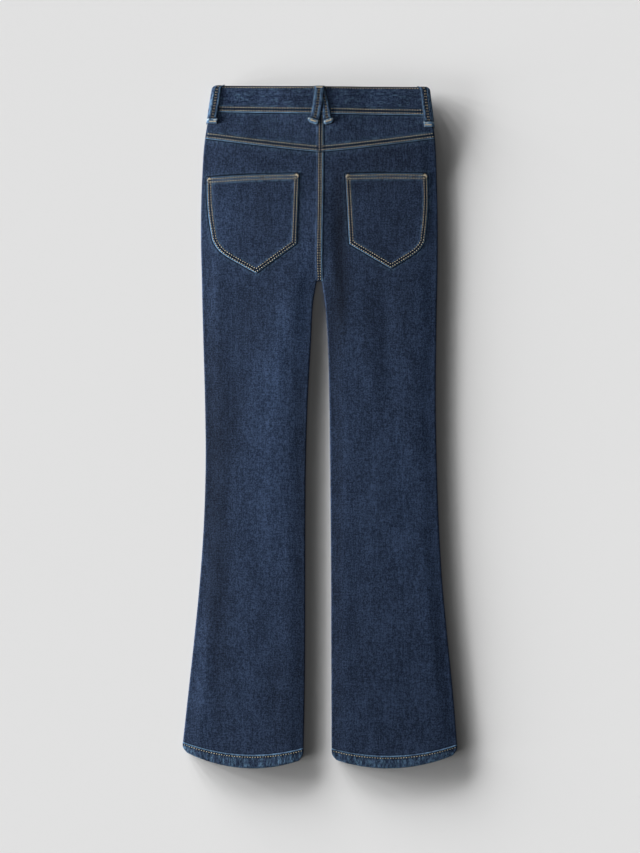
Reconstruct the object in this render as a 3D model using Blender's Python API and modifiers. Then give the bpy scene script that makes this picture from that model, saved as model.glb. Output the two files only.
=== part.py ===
"""Bootcut jeans laid flat, back side up: +Y towards the waist, +Z up, resting on the front panels.

The garment is built as it is sewn: two back legs, two back yokes, two front legs, a waistband that runs
right round and overlaps at the fly, patch pockets, belt loops, turned-up hems, a zip and a tack button.
Each leg is a flattened tube. Its back panel rolls round both edges and meets the front panel underneath.
"""
import math

import bmesh
import bpy
import numpy as np

MM = 0.001

# Cloth and gaps
DENIM = 1.1 * MM            # one ply of stretch denim with its fell
BAND_PLY = 1.7 * MM         # waistband, two plies and interfacing
HEM_PLY = 1.9 * MM          # turned-up hem
LOOP_PLY = 1.8 * MM         # folded belt loop
SEAM = 0.3 * MM             # gap between neighbouring pieces
PATCH_GAP = 0.45 * MM       # gap under what lies on a panel

# Lengths along the garment
WAIST_SEAM = 449.0 * MM     # where the waistband is sewn on, on the centre line
WAIST_TOP = 488.1 * MM
WAIST_TILT = -0.0110        # the waist lies a little lower on the right
BAND_WIDENING = 0.0045      # the band is a little deeper on the right
FRONT_DIP = 8.0 * MM        # the front waist is cut lower than the back
DIP_REACH = 145.0 * MM      # out to this far from the centre
YOKE_POINT = 394.5 * MM     # the yoke seam at the centre back
YOKE_RISE = 19.0 * MM       # and how much higher it lies at the sides
HALF_HIP = 166.0 * MM
CROTCH = 208.8 * MM
HEM_DEPTH = 17.5 * MM
HEM_TOP_BOW = 1.65          # rise of the hem's upper edge, per metre squared
FLY_LENGTH = 150.0 * MM

# Heights above the floor
EDGE_HEIGHT = 3.5 * MM      # a leg's rolled edge
CROWN = 1.4 * MM            # how much the middle of a leg stands above its edges
CROWN_REACH = 24.0 * MM
SEAT_BLEND = 70.0 * MM      # above the crotch, over which both legs' crowns join across the seat
BAND_FLOOR = 2.3 * MM       # the waistband lies on the front loops and the button
BAND_TOP = 6.4 * MM
BAND_OVERLAP_RISE = 1.9 * MM
OVERLAP_FLAT = 26.0 * MM    # half of the stretch lifted by the overlapping ends
OVERLAP_END = 78.0 * MM
WAIST_LIFT = 2.65 * MM      # underside of the front panels at the waist seam
LIFT_START = 380.0 * MM
HEM_HEIGHT = 4.35 * MM
HEM_CROWN = 0.9 * MM
HEM_CORNER = 2.0 * MM       # how far the lower corners are drawn in
HEM_TURN = 8.0 * MM         # the corners stand this much higher than the middle
HEM_UNDERLAY = 1.5 * MM     # the front of a hem ends this much higher than its back
LOW_LIMIT = 2.75 * MM       # back panels never come closer to the floor than this
HIGH_LIMIT = 6.0 * MM

# Rolled edges
ROLL = 2.3 * MM             # how far a rolled edge reaches in from the outline
TAIL = 3.4 * MM             # cloth that lies under, past the roll, up to the seam
ROLL_ANGLES = (-90, -45, 0, 45, 90)
CROTCH_SLIT = 0.8 * MM      # between the flat seat and the legs' rolled inner edges
SEAT_STRIP = 10.0 * MM      # strip beside the centre back seam that ends at that slit

# Outline of each leg, in mm from the garment's centre line: y, outer edge, inner edge
LEG_COLUMNS = ("y", "outer", "inner")
LEFT_LEG = (
    (489.5, 152.5, 0.0),
    (469.0, 155.5, 0.0),
    (450.0, 158.5, 0.0),
    (412.0, 164.8, 0.0),
    (354.0, 169.0, 0.0),
    (268.0, 170.5, 0.0),
    (208.8, 169.2, 4.4),
    (182.0, 168.7, 9.0),
    (125.0, 167.2, 12.4),
    (39.0, 164.8, 17.2),
    (-47.5, 163.8, 19.8),
    (-134.0, 166.2, 20.6),
    (-220.0, 172.0, 20.8),
    (-306.0, 180.4, 21.0),
    (-392.0, 189.8, 21.8),
    (-461.0, 197.4, 23.2),
)
RIGHT_LEG = (
    (489.5, 156.0, 0.0),
    (469.0, 158.0, 0.0),
    (450.0, 160.5, 0.0),
    (412.0, 165.5, 0.0),
    (354.0, 168.0, 0.0),
    (268.0, 169.4, 0.0),
    (208.8, 168.8, 3.2),
    (182.0, 168.1, 7.1),
    (125.0, 167.2, 11.4),
    (39.0, 166.5, 13.8),
    (-47.5, 167.8, 14.8),
    (-134.0, 170.7, 15.6),
    (-220.0, 175.6, 16.2),
    (-306.0, 183.6, 16.4),
    (-392.0, 192.1, 16.7),
    (-461.0, 197.5, 16.9),
)

# Lower edge of each hem: a bow with its lowest point (mm) and its rise to the sides (per metre squared)
HEM_COLUMNS = ("lowest_y", "lowest_from_centre", "bow")
LEFT_HEM = (-489.7, 95.9, 2.50)
RIGHT_HEM = (-489.8, 98.0, 2.16)

# Centre back seam, in mm: y, x
SEAM_COLUMNS = ("y", "x")
CENTRE_SEAM = (
    (489.0, 3.0),
    (394.0, 3.2),
    (270.0, 2.4),
    (222.0, 1.6),
    (208.8, -0.6),
    (200.0, -0.6),
)

# Largest soft folds of the back, in mm: both ends, half width and height of each
FOLD_COLUMNS = ("x0", "y0", "x1", "y1", "half_width", "height")
FOLDS = (
    (3, 390, 2, 225, 15, 0.7),
    (28, 330, 32, 180, 16, -0.9),
    (-34, 215, -62, 60, 19, 1.0),
    (-66, 45, -72, -150, 20, 0.6),
    (-112, 190, -122, -20, 22, -0.8),
    (-150, 250, -152, 150, 14, 0.5),
    (-140, -60, -148, -330, 20, -0.4),
    (-60, -200, -66, -420, 22, -0.4),
    (-160, -250, -172, -430, 16, 0.6),
    (62, 150, 84, 10, 20, 0.6),
    (92, 190, 106, 40, 14, -0.7),
    (120, 160, 126, -60, 20, 0.6),
    (84, -60, 96, -150, 26, 0.6),
    (52, -120, 50, -380, 18, -0.5),
    (140, -150, 158, -400, 20, 0.5),
    (100, -260, 108, -430, 24, 0.4),
)
FOLD_TAPER = 0.25           # share of a fold's length over which each end rises

# Back pockets, in mm: x of the inner and outer side at the mouth and at the lower corners, and the heights
POCKET_COLUMNS = (
    "mouth_in", "mouth_out", "mouth_in_y", "mouth_out_y",
    "corner_in", "corner_in_y", "corner_out", "corner_out_y", "tip", "tip_y", "side_bow", "corner_bow",
)
LEFT_POCKET = (-29.7, -161.9, 363.7, 357.7, -33.3, 262.5, -154.0, 268.5, -91.0, 220.2, 2.5, 13.0)
RIGHT_POCKET = (36.8, 154.3, 362.6, 363.3, 42.4, 262.4, 150.6, 266.5, 102.2, 226.9, 2.8, 10.0)
MOUTH_BOW = 1.2 * MM

# Belt loops. The pair at the centre back leans together: x of each one's middle in mm, at its head and foot
LOOP_WIDTH = 12.5 * MM
LOOP_FOOT = 13.0 * MM       # how far a loop runs down past the waistband
LOOP_SLACK = 0.5 * MM
LOOP_ROWS = 9
CROSS_COLUMNS = ("name", "head_x", "foot_x", "lies_over")
CROSS_LOOPS = (
    ("loop_cross_right", 2.5, 12.6, False),
    ("loop_cross_left", -1.1, -9.1, True),
)
CROSSING = (0.22, 0.44)     # share of its length where the upper loop climbs over the other
SIDE_LOOP_REACH = 9.0 * MM  # how far a side loop lies on the band, past the rolled edge
SIDE_LOOP_ANGLES = (-10, 30, 62, 90)
LOOP_PROUD = 0.3 * MM       # a loop's head stands this far above the waist
FRONT_LOOP_X = 76.0 * MM
FRONT_LOOP_PLY = 1.7 * MM

# Closure
OVERLAP = 20.0 * MM         # each end of the waistband runs this far past the centre front
TUCK = (44.0 * MM, 23.0 * MM)   # the underlap climbs over the outer end between these distances
BUTTON_RADIUS = 8.5 * MM
BUTTON_CAP = 2.0 * MM
SHANK_RADIUS = 2.5 * MM
EYELET_RADIUS = 2.9 * MM
EYELET_CUT = 3.7 * MM
ZIP_WIDTH = 24.0 * MM
ZIP_THICKNESS = 0.9 * MM
ZIP_BELOW_WAIST = 2.0 * MM

# Finish: colour, roughness, metallic
DENIM_BLUE = ((0.024, 0.038, 0.075), 0.85, 0.0)
BRASS = ((0.45, 0.33, 0.17), 0.35, 1.0)
TAPE_BLUE = ((0.02, 0.03, 0.06), 0.8, 0.0)

# Mesh fineness
LEG_ROWS = 20
SEAT_ROWS = 10
YOKE_ROWS = 6
LEG_TOP_COLUMNS = 9
INNER_COLUMNS = 6
FRONT_COLUMNS = 7
RING_COLUMNS = 13
HEM_RISES = (0.0, 0.35, 0.7, 1.0)
POCKET_GRID = (13, 12)      # the middle column meets the pocket's point
BAND_SHARES = (0.0, 0.2, 0.5, 0.8, 1.0)
BAND_FRONT = (DIP_REACH, 120.0 * MM, 95.0 * MM, 68.0 * MM, 44.0 * MM)
BAND_BACK_COLUMNS = 15
END_BEND = 60.0 * MM        # how far from a panel's end its rows bend to meet its edge


def smooth(t):
    """0 below 0, 1 above 1, and an S-curve between."""
    t = np.clip(t, 0.0, 1.0)
    return t * t * (3.0 - 2.0 * t)


def along(table, column, y):
    """A column of a table (mm) at height y (m), on a smooth curve through its rows."""
    rows = np.array(sorted(table), float)
    at, value = rows[:, 0] * MM, rows[:, column] * MM
    slope = np.gradient(value, at)
    y = np.clip(np.asarray(y, float), at[0], at[-1])
    i = np.clip(np.searchsorted(at, y) - 1, 0, len(at) - 2)
    step = at[i + 1] - at[i]
    t = (y - at[i]) / step
    rise = value[i] * (1 + 2 * t) * (1 - t) ** 2 + value[i + 1] * t * t * (3 - 2 * t)
    return rise + step * (slope[i] * t * (1 - t) ** 2 - slope[i + 1] * t * t * (1 - t))


def named(row, columns):
    """A table's row as a dictionary of its named columns."""
    return dict(zip(columns, row))


def leg_table(side):
    return LEFT_LEG if side < 0 else RIGHT_LEG


def hem_shape(side):
    return named(LEFT_HEM if side < 0 else RIGHT_HEM, HEM_COLUMNS)


def outer_edge(side, y):
    return along(leg_table(side), LEG_COLUMNS.index("outer"), y)


def inner_edge(side, y):
    return along(leg_table(side), LEG_COLUMNS.index("inner"), y)


def centre_seam(side, y):
    """Distance of the centre back seam from the centre line, towards this side."""
    return side * along(CENTRE_SEAM, SEAM_COLUMNS.index("x"), y)


def band_bottom(x):
    return WAIST_SEAM + (WAIST_TILT - BAND_WIDENING) * x


def band_top(x):
    return WAIST_TOP + (WAIST_TILT + BAND_WIDENING) * x


def yoke_seam(x):
    return YOKE_POINT + YOKE_RISE * (np.abs(x) / HALF_HIP) ** 1.15


def hem_bottom(side, w):
    """Lower edge of a leg, at distance w from the centre line."""
    shape = hem_shape(side)
    return shape["lowest_y"] * MM + shape["bow"] * (w - shape["lowest_from_centre"] * MM) ** 2


def hem_top(side, w):
    """Upper edge of a hem, where the leg panels meet it."""
    shape = hem_shape(side)
    return shape["lowest_y"] * MM + HEM_DEPTH + HEM_TOP_BOW * (w - shape["lowest_from_centre"] * MM) ** 2


def front_dip(x):
    return FRONT_DIP * (1.0 - np.clip(np.abs(x) / DIP_REACH, 0.0, 1.0) ** 2)


def underside(y):
    """Height of the cloth's underside: flat on the floor, lifted near the waist by the loops and the button."""
    return WAIST_LIFT * smooth((y - LIFT_START) / (WAIST_SEAM - LIFT_START))


def overlap_rise(x):
    return BAND_OVERLAP_RISE * smooth((OVERLAP_END - np.abs(x)) / (OVERLAP_END - OVERLAP_FLAT))


def folds(x, y):
    """Sum of the soft ridges and troughs, each a rounded bank along a line with tapering ends."""
    total = np.zeros(np.broadcast(x, y).shape)
    for row in FOLDS:
        fold = {column: value * MM for column, value in named(row, FOLD_COLUMNS).items()}
        across, along_y = fold["x1"] - fold["x0"], fold["y1"] - fold["y0"]
        length = math.hypot(across, along_y)
        t = ((x - fold["x0"]) * across + (y - fold["y0"]) * along_y) / length ** 2
        off = ((x - fold["x0"]) * along_y - (y - fold["y0"]) * across) / length
        from_end = 0.5 - np.abs(t - 0.5) + FOLD_TAPER
        bank = smooth(from_end / (2.0 * FOLD_TAPER)) * np.exp(-((off / fold["half_width"]) ** 2))
        total = total + fold["height"] * bank
    return total


def back_height(side, w, y):
    """Height of the back's outer face above the floor, at distance w from the centre line."""
    x = side * w
    at_waist = smooth((y - YOKE_POINT) / (WAIST_SEAM - YOKE_POINT))
    from_outer = smooth((outer_edge(side, y) - ROLL - w) / CROWN_REACH)
    from_inner = smooth((w - inner_edge(side, y) - ROLL) / CROWN_REACH)
    above_crotch = smooth((y - CROTCH) / SEAT_BLEND)
    from_inner = from_inner + (1.0 - from_inner) * above_crotch
    inside = from_outer * from_inner
    body = EDGE_HEIGHT + inside * (CROWN * (1.0 - at_waist) + folds(x, y) * (1.0 - at_waist))
    body = np.clip(body, LOW_LIMIT, HIGH_LIMIT)
    return underside(y) + body + at_waist * overlap_rise(x)


def roll(edge, base, top, angles=ROLL_ANGLES):
    """Points of a rolled edge, from underneath to on top: distances and heights."""
    angle = np.radians(angles)
    half = (top - base) / 2.0
    return edge - ROLL + ROLL * np.cos(angle), base + half + half * np.sin(angle)


def back_section(side, y):
    """One row across a back panel, from its inner edge to its outer seam, as distances and heights.

    Below the crotch both edges roll under. Above it the inner columns lie flat up to the centre back seam.
    """
    outer, inner = float(outer_edge(side, y)), float(inner_edge(side, y))
    base = float(underside(y))
    out_w, out_z = roll(outer, base, base + EDGE_HEIGHT)
    out_w = np.append(out_w[::-1], outer - ROLL - TAIL)
    out_z = np.append(out_z[::-1], base)
    if y < CROTCH:
        in_w, in_z = roll(-inner, base, base + EDGE_HEIGHT)
        in_w = np.append(inner + ROLL + TAIL, -in_w)
        in_z = np.append(base, in_z)
    else:
        seam = float(centre_seam(side, y)) + SEAM / 2.0
        in_w = seam + np.linspace(0.0, SEAT_STRIP, INNER_COLUMNS)
        in_z = back_height(side, in_w, y)
    top_w = in_w[-1] + (out_w[0] - in_w[-1]) * np.linspace(0.0, 1.0, LEG_TOP_COLUMNS + 2)[1:-1]
    w = np.concatenate([in_w, top_w, out_w])
    z = np.concatenate([in_z, back_height(side, top_w, y), out_z])
    return w, z


def leg_heights(side):
    """Rows of a leg from its hem to just under the crotch, the same on the front and the back."""
    low = float(hem_top(side, hem_shape(side)["lowest_from_centre"] * MM)) + SEAM / 2.0
    return np.append(np.linspace(low, CROTCH - SEAT_STRIP, LEG_ROWS), CROTCH - CROTCH_SLIT / 2.0)


def between_rolls(side, w, y):
    """Distance w, held inside a leg's rolled edges, so that a seam runs straight round each roll."""
    return np.clip(w, inner_edge(side, y) + ROLL, outer_edge(side, y) - ROLL)


def bent(y, low, high, lower, upper):
    """Height y, bent near the two ends of a panel to meet its lower and upper edge."""
    near_low = smooth((low + END_BEND - y) / END_BEND)
    near_high = smooth((y - high + END_BEND) / END_BEND)
    return y + near_low * (lower - low) + near_high * (upper - high)


def bent_row(side, y, w, row_y):
    """Points of a back piece's row whose columns lie at their own heights, moved out as the leg widens."""
    share = np.clip((w - w[0]) / (w[-1 - len(ROLL_ANGLES)] - w[0]), 0.0, 1.0)
    z = np.array([back_section(side, at)[1][column] for column, at in enumerate(row_y)])
    w = w + share * (outer_edge(side, row_y) - outer_edge(side, y))
    return np.stack([side * w, row_y, z], axis=1)


def material(name, finish):
    colour, roughness, metallic = finish
    made = bpy.data.materials.new(name)
    made.use_nodes = True
    shader = made.node_tree.nodes["Principled BSDF"]
    shader.inputs["Base Color"].default_value = (*colour, 1.0)
    shader.inputs["Roughness"].default_value = roughness
    shader.inputs["Metallic"].default_value = metallic
    return made


def place(name, mesh, finish, collection):
    """A named object for a mesh, shaded smooth, in the collection."""
    mesh.materials.append(finish)
    mesh.shade_smooth()
    mesh.set_sharp_from_angle(angle=math.radians(50.0))
    made = bpy.data.objects.new(name, mesh)
    collection.objects.link(made)
    return made


def sheet(name, points, thickness, finish, collection, ring=False, slit=None):
    """A cloth wall: a flat grid whose points are moved onto the cloth's outer face, thickened inwards.

    Points are rows by columns. The outer face looks up where columns run along +X and rows along +Y.
    A ring's last column is its first again. A slit (row, columns) leaves those cells of the grid out.
    """
    rows, columns = points.shape[:2]
    shape = bmesh.new()
    bmesh.ops.create_grid(shape, x_segments=columns - 1, y_segments=rows - 1, size=1.0)

    def place_in_grid(point):
        return (point.y + 1.0) / 2.0 * (rows - 1), (point.x + 1.0) / 2.0 * (columns - 1)

    if slit:
        gone = []
        for face in shape.faces:
            row, column = place_in_grid(face.calc_center_median())
            if int(row) == slit[0] and int(column) in slit[1]:
                gone.append(face)
        bmesh.ops.delete(shape, geom=gone, context="FACES")
    for vertex in shape.verts:
        row, column = place_in_grid(vertex.co)
        vertex.co = points[round(row), round(column)]
    if ring:
        bmesh.ops.remove_doubles(shape, verts=shape.verts, dist=1e-6)
    mesh = bpy.data.meshes.new(name)
    shape.to_mesh(mesh)
    shape.free()
    made = place(name, mesh, finish, collection)
    solidify = made.modifiers.new("cloth", "SOLIDIFY")
    solidify.thickness = thickness
    solidify.offset = -1.0
    return made


def facing_up(points, side):
    """Columns in the order that turns the outer face up, on either side of the garment."""
    return points if side > 0 else points[:, ::-1]


def back_leg(side, name, finish, collection):
    """Back leg panel, from the yoke seam to the hem, slit where its inner edge starts to roll under."""
    high = YOKE_POINT - SEAM / 2.0
    below = leg_heights(side)
    heights = np.concatenate([below, np.linspace(CROTCH + CROTCH_SLIT / 2.0, high, SEAT_ROWS)])
    rows = []
    for y in heights:
        w, _ = back_section(side, y)
        hem_seam = hem_top(side, between_rolls(side, w, y)) + SEAM / 2.0
        rows.append(bent_row(side, y, w, bent(y, heights[0], high, hem_seam, yoke_seam(w) - SEAM / 2.0)))
    points = facing_up(np.array(rows), side)
    cells = points.shape[1] - 1
    inner = range(0, INNER_COLUMNS - 1) if side > 0 else range(cells - INNER_COLUMNS + 1, cells)
    return sheet(name, points, DENIM, finish, collection, slit=(len(below) - 1, inner))


def yoke(side, name, finish, collection):
    """Back yoke, between the yoke seam and the waistband."""
    low, high = YOKE_POINT + SEAM / 2.0, WAIST_SEAM - SEAM / 2.0
    rows = []
    for share in np.linspace(0.0, 1.0, YOKE_ROWS):
        y = low + share * (high - low)
        w, _ = back_section(side, y)
        foot, head = yoke_seam(w) + SEAM / 2.0, band_bottom(side * w) - SEAM / 2.0
        rows.append(bent_row(side, y, w, foot + share * (head - foot)))
    return sheet(name, facing_up(np.array(rows), side), DENIM, finish, collection)


def front_leg(side, name, finish, collection):
    """Front leg panel, flat on the floor, from the hem to the waistband, between the two seams underneath."""
    high = WAIST_SEAM - SEAM / 2.0
    below = leg_heights(side)
    at_crotch = CROTCH + np.array([0.2, 0.8]) * MM
    above = np.linspace(CROTCH + 20.0 * MM, high, SEAT_ROWS + 1)
    rows = []
    for y in np.concatenate([below, at_crotch, above]):
        under = float(inner_edge(side, y)) + ROLL + TAIL + SEAM
        first = SEAM / 2.0 if y > at_crotch[0] else under
        w = np.linspace(first, float(outer_edge(side, y)) - ROLL - TAIL - SEAM, FRONT_COLUMNS)
        waist = band_bottom(side * w) - front_dip(w) - SEAM / 2.0
        row_y = bent(y, below[0], high, hem_top(side, w) + SEAM / 2.0, waist)
        w = w + (outer_edge(side, row_y) - outer_edge(side, y)) * np.linspace(0.0, 1.0, FRONT_COLUMNS)
        rows.append(np.stack([side * w, row_y, underside(row_y)], axis=1))
    return sheet(name, facing_up(np.array(rows), -side), DENIM, finish, collection)


def band_path():
    """Stations round the waistband, from its outer end to its underlap end: the run, and where on it.

    A front station is a distance from the centre, a back one a share of the way to the edge, and an edge
    station an angle round the roll.
    """
    ends = np.linspace(OVERLAP, -OVERLAP, 4)
    tuck = np.linspace(*TUCK, 3)[1:]
    stations = [("outer end", x) for x in (*ends, *-np.array(BAND_FRONT[::-1]))]
    stations += [("left edge", angle) for angle in ROLL_ANGLES]
    stations += [("back", share) for share in np.linspace(-0.95, 0.95, BAND_BACK_COLUMNS)]
    stations += [("right edge", angle) for angle in ROLL_ANGLES[::-1]]
    stations += [("underlap", x) for x in (*BAND_FRONT, *tuck, *ends[1:])]
    return stations


def band_height(x):
    """Outer face of the waistband's back run."""
    return BAND_TOP + overlap_rise(x)


def band_column(station, shares):
    """Points up one column of the waistband, at the given shares of its height."""
    run, at = station
    points = []
    for share in shares:
        side = -1 if run.startswith("left") or (run == "back" and at < 0) else 1
        near = side * float(outer_edge(side, WAIST_SEAM))
        y = float(band_bottom(near) + share * (band_top(near) - band_bottom(near)))
        if run.endswith("edge"):
            w, z = roll(float(outer_edge(side, y)), BAND_FLOOR, BAND_TOP, (at,))
            x, z = side * float(w[0]), float(z[0])
        elif run == "back":
            x = at * float(outer_edge(side, y) - ROLL)
            z = float(band_height(x))
        else:
            tucked = smooth((TUCK[0] - at) / (TUCK[0] - TUCK[1])) if run == "underlap" else 0.0
            x, z = at, BAND_FLOOR + float(tucked) * (BAND_PLY + SEAM)
        foot, head = float(band_bottom(x)), float(band_top(x))
        dip = 0.0 if run == "back" else float(front_dip(x))
        points.append((x, foot + share * (head - foot) - dip, z))
    return points


def waistband(finish, collection, cutters):
    """Waistband: one folded strip that runs right round, with an eyelet in its outer end for the button."""
    points = np.array([band_column(station, BAND_SHARES) for station in band_path()]).transpose(1, 0, 2)
    made = sheet("waistband", points, BAND_PLY, finish, collection)
    bpy.ops.mesh.primitive_cylinder_add(vertices=20, radius=EYELET_RADIUS, depth=EYELET_CUT)
    cutter = bpy.context.object
    cutter.name = "eyelet_cutter"
    cutter.location = (0.0, button_y(), BAND_FLOOR)
    cutter.hide_render = True
    cutter.display_type = "WIRE"
    for linked in list(cutter.users_collection):
        linked.objects.unlink(cutter)
    cutters.objects.link(cutter)
    eyelet = made.modifiers.new("eyelet", "BOOLEAN")
    eyelet.operation = "DIFFERENCE"
    eyelet.object = cutter
    return made


def button_y():
    return float(band_bottom(0.0) + band_top(0.0)) / 2.0 - FRONT_DIP


def button(finish, collection):
    """Tack button: a turned cap under the waistband's outer end and a shank up through its eyelet."""
    cap, shank_top = BUTTON_CAP, BAND_FLOOR + BAND_PLY - 0.1 * MM
    profile = [
        (0.0, 0.0), (BUTTON_RADIUS - 1.5 * MM, 0.0), (BUTTON_RADIUS, 0.7 * MM),
        (BUTTON_RADIUS, cap - 0.5 * MM), (BUTTON_RADIUS - 0.6 * MM, cap),
        (SHANK_RADIUS, cap), (SHANK_RADIUS, shank_top), (0.0, shank_top),
    ]
    mesh = bpy.data.meshes.new("button")
    edges = [(i, i + 1) for i in range(len(profile) - 1)]
    mesh.from_pydata([(r, 0.0, z) for r, z in reversed(profile)], edges, [])
    made = place("button", mesh, finish, collection)
    made.location = (0.0, button_y(), 0.0)
    screw = made.modifiers.new("turned", "SCREW")
    screw.steps = screw.render_steps = 24
    screw.use_merge_vertices = True
    screw.merge_threshold = 0.00001
    screw.use_normal_calculate = True
    return made


def zip_tape(finish, collection):
    """Closed zip behind the fly: a flat tape on the inside of the two front panels."""
    top = WAIST_SEAM - FRONT_DIP - ZIP_BELOW_WAIST
    rows = []
    for y in np.linspace(top - FLY_LENGTH, top, 8):
        x = np.array([-0.5, 0.5]) * ZIP_WIDTH
        z = underside(y) + DENIM + SEAM
        rows.append(np.stack([x, np.full(2, y), np.full(2, z)], axis=1))
    return sheet("zip", np.array(rows)[:, ::-1], ZIP_THICKNESS, finish, collection)


def cross_loop(row, finish, collection):
    """One of the two belt loops that lean together at the centre back, above the waistband and the yoke."""
    loop = named(row, CROSS_COLUMNS)
    share = np.linspace(0.0, 1.0, LOOP_ROWS)[:, None]
    middle = (loop["foot_x"] + (loop["head_x"] - loop["foot_x"]) * share) * MM
    x = middle + np.linspace(-0.5, 0.5, 4) * LOOP_WIDTH
    foot, head = band_bottom(x) - LOOP_FOOT, band_top(x) + LOOP_PROUD
    lift = SEAM + LOOP_PLY + LOOP_SLACK * np.sin(math.pi * share)
    if loop["lies_over"]:
        lift = lift + (LOOP_PLY + PATCH_GAP) * smooth((share - CROSSING[0]) / (CROSSING[1] - CROSSING[0]))
    points = np.stack([x, foot + share * (head - foot), band_height(x) + lift], axis=2)
    return sheet(loop["name"], points, LOOP_PLY, finish, collection)


def side_loop(side, name, finish, collection):
    """Belt loop at the side: its outer part lies round the waistband's rolled edge."""
    half = (BAND_TOP - BAND_FLOOR) / 2.0
    rows = []
    for share in np.linspace(0.0, 1.0, LOOP_ROWS):
        slack = LOOP_SLACK * math.sin(math.pi * share) + SEAM + LOOP_PLY
        middle = side * (float(outer_edge(side, WAIST_SEAM)) - SIDE_LOOP_REACH / 2.0)
        foot, head = float(band_bottom(middle)) - LOOP_FOOT, float(band_top(middle)) + LOOP_PROUD
        y = foot + share * (head - foot)
        edge = float(outer_edge(side, y))
        turn = np.radians(SIDE_LOOP_ANGLES)
        reach = np.concatenate([0.0 * turn, [0.5 * SIDE_LOOP_REACH, SIDE_LOOP_REACH]])
        turn = np.append(turn, turn[-1:].repeat(2))
        w = edge - ROLL + (ROLL + slack) * np.cos(turn) - reach
        z = BAND_FLOOR + half + (half + slack) * np.sin(turn)
        rows.append(np.stack([side * w, np.full_like(w, y), z], axis=1)[::-1])
    return sheet(name, facing_up(np.array(rows), side), LOOP_PLY, finish, collection)


def front_loop(side, name, finish, collection):
    """Belt loop on the front, flat on the floor under the waistband."""
    share = np.linspace(0.0, 1.0, LOOP_ROWS)[:, None]
    x = side * FRONT_LOOP_X + np.array([0.5, -0.5]) * LOOP_WIDTH + 0.0 * share
    foot, head = band_bottom(x) - front_dip(x) - LOOP_FOOT, band_top(x) - front_dip(x)
    points = np.stack([x, foot + share * (head - foot), 0.0 * x], axis=2)
    return sheet(name, points, FRONT_LOOP_PLY, finish, collection)


def pocket_edges(row, columns, rows):
    """Outline of a back pocket as four edges: mouth, foot with its point, inner side and outer side."""
    p = {column: value * MM for column, value in named(row, POCKET_COLUMNS).items()}
    across, down = np.linspace(0.0, 1.0, columns), np.linspace(0.0, 1.0, rows)
    away = math.copysign(1.0, p["mouth_out"])
    before, after = np.clip(2.0 * across, 0.0, 1.0), np.clip(2.0 * across - 1.0, 0.0, 1.0)
    mouth = np.stack([
        p["mouth_in"] + across * (p["mouth_out"] - p["mouth_in"]),
        p["mouth_in_y"] + across * (p["mouth_out_y"] - p["mouth_in_y"]) + MOUTH_BOW * np.sin(math.pi * across),
    ], axis=1)
    rounding = p["corner_bow"] * after * (1.0 - after ** 8)
    foot = np.stack([
        p["corner_in"] + before * (p["tip"] - p["corner_in"]) + after * (p["corner_out"] - p["tip"]),
        p["corner_in_y"] + before * (p["tip_y"] - p["corner_in_y"]) + after * (p["corner_out_y"] - p["tip_y"])
        - rounding,
    ], axis=1)
    inner = np.stack([
        p["mouth_in"] + down * (p["corner_in"] - p["mouth_in"]),
        p["mouth_in_y"] + down * (p["corner_in_y"] - p["mouth_in_y"]),
    ], axis=1)
    outer = np.stack([
        p["mouth_out"] + down * (p["corner_out"] - p["mouth_out"])
        + away * p["side_bow"] * np.sin(math.pi * down),
        p["mouth_out_y"] + down * (p["corner_out_y"] - p["mouth_out_y"]),
    ], axis=1)
    return mouth, foot, inner, outer


def pocket_grid(row, columns, rows):
    """A grid that fills the pocket's outline, blended from its four edges."""
    mouth, foot, inner, outer = pocket_edges(row, columns, rows)
    u = np.linspace(0.0, 1.0, columns)[None, :, None]
    v = np.linspace(0.0, 1.0, rows)[:, None, None]
    between = (1 - v) * mouth[None] + v * foot[None] + (1 - u) * inner[:, None] + u * outer[:, None]
    corners = (1 - u) * (1 - v) * mouth[0] + u * (1 - v) * mouth[-1] + (1 - u) * v * foot[0] + u * v * foot[-1]
    return between - corners


def back_pocket(side, name, row, finish, collection):
    """Patch pocket, lying on its back panel."""
    flat = pocket_grid(row, POCKET_GRID[0], POCKET_GRID[1])
    x, y = flat[..., 0], flat[..., 1]
    z = back_height(side, side * x, y) + PATCH_GAP + DENIM
    points = np.stack([x, y, z], axis=2)[::-1]
    return sheet(name, facing_up(points, side), DENIM, finish, collection)


def hem(side, name, finish, collection):
    """Turned-up hem: a flattened ring round the end of a leg, with softly rounded lower corners."""
    shares = np.linspace(0.04, 0.96, RING_COLUMNS)
    lowest = hem_shape(side)["lowest_from_centre"] * MM
    rows = []
    for rise in HEM_RISES:
        level = float(hem_bottom(side, lowest) * (1.0 - rise) + hem_top(side, lowest) * rise)
        corner = HEM_CORNER * (1.0 - rise) ** 2
        outer = float(outer_edge(side, level + HEM_TURN)) - corner
        inner = float(inner_edge(side, level + HEM_TURN)) + corner
        out_w, out_z = roll(outer, 0.0, HEM_HEIGHT)
        in_w, in_z = roll(-inner, 0.0, HEM_HEIGHT)
        run = inner + ROLL + shares * (outer - inner - 2.0 * ROLL)
        crown = HEM_CROWN * np.sin(math.pi * shares) ** 0.6
        w = np.concatenate([run[::-1], -in_w, run, out_w[::-1], run[-1:]])
        z = np.concatenate([0.0 * run, in_z, HEM_HEIGHT + crown, out_z[::-1], [0.0]])
        seam_w = between_rolls(side, w, level + HEM_TURN)
        foot = hem_bottom(side, seam_w) + HEM_UNDERLAY * (z < HEM_HEIGHT / 2.0)
        rows.append(np.stack([side * w, foot + rise * (hem_top(side, seam_w) - SEAM / 2.0 - foot), z], axis=1))
    return sheet(name, facing_up(np.array(rows), side), HEM_PLY, finish, collection, ring=True)


def collection_named(name):
    made = bpy.data.collections.new(name)
    bpy.context.scene.collection.children.link(made)
    return made


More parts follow.
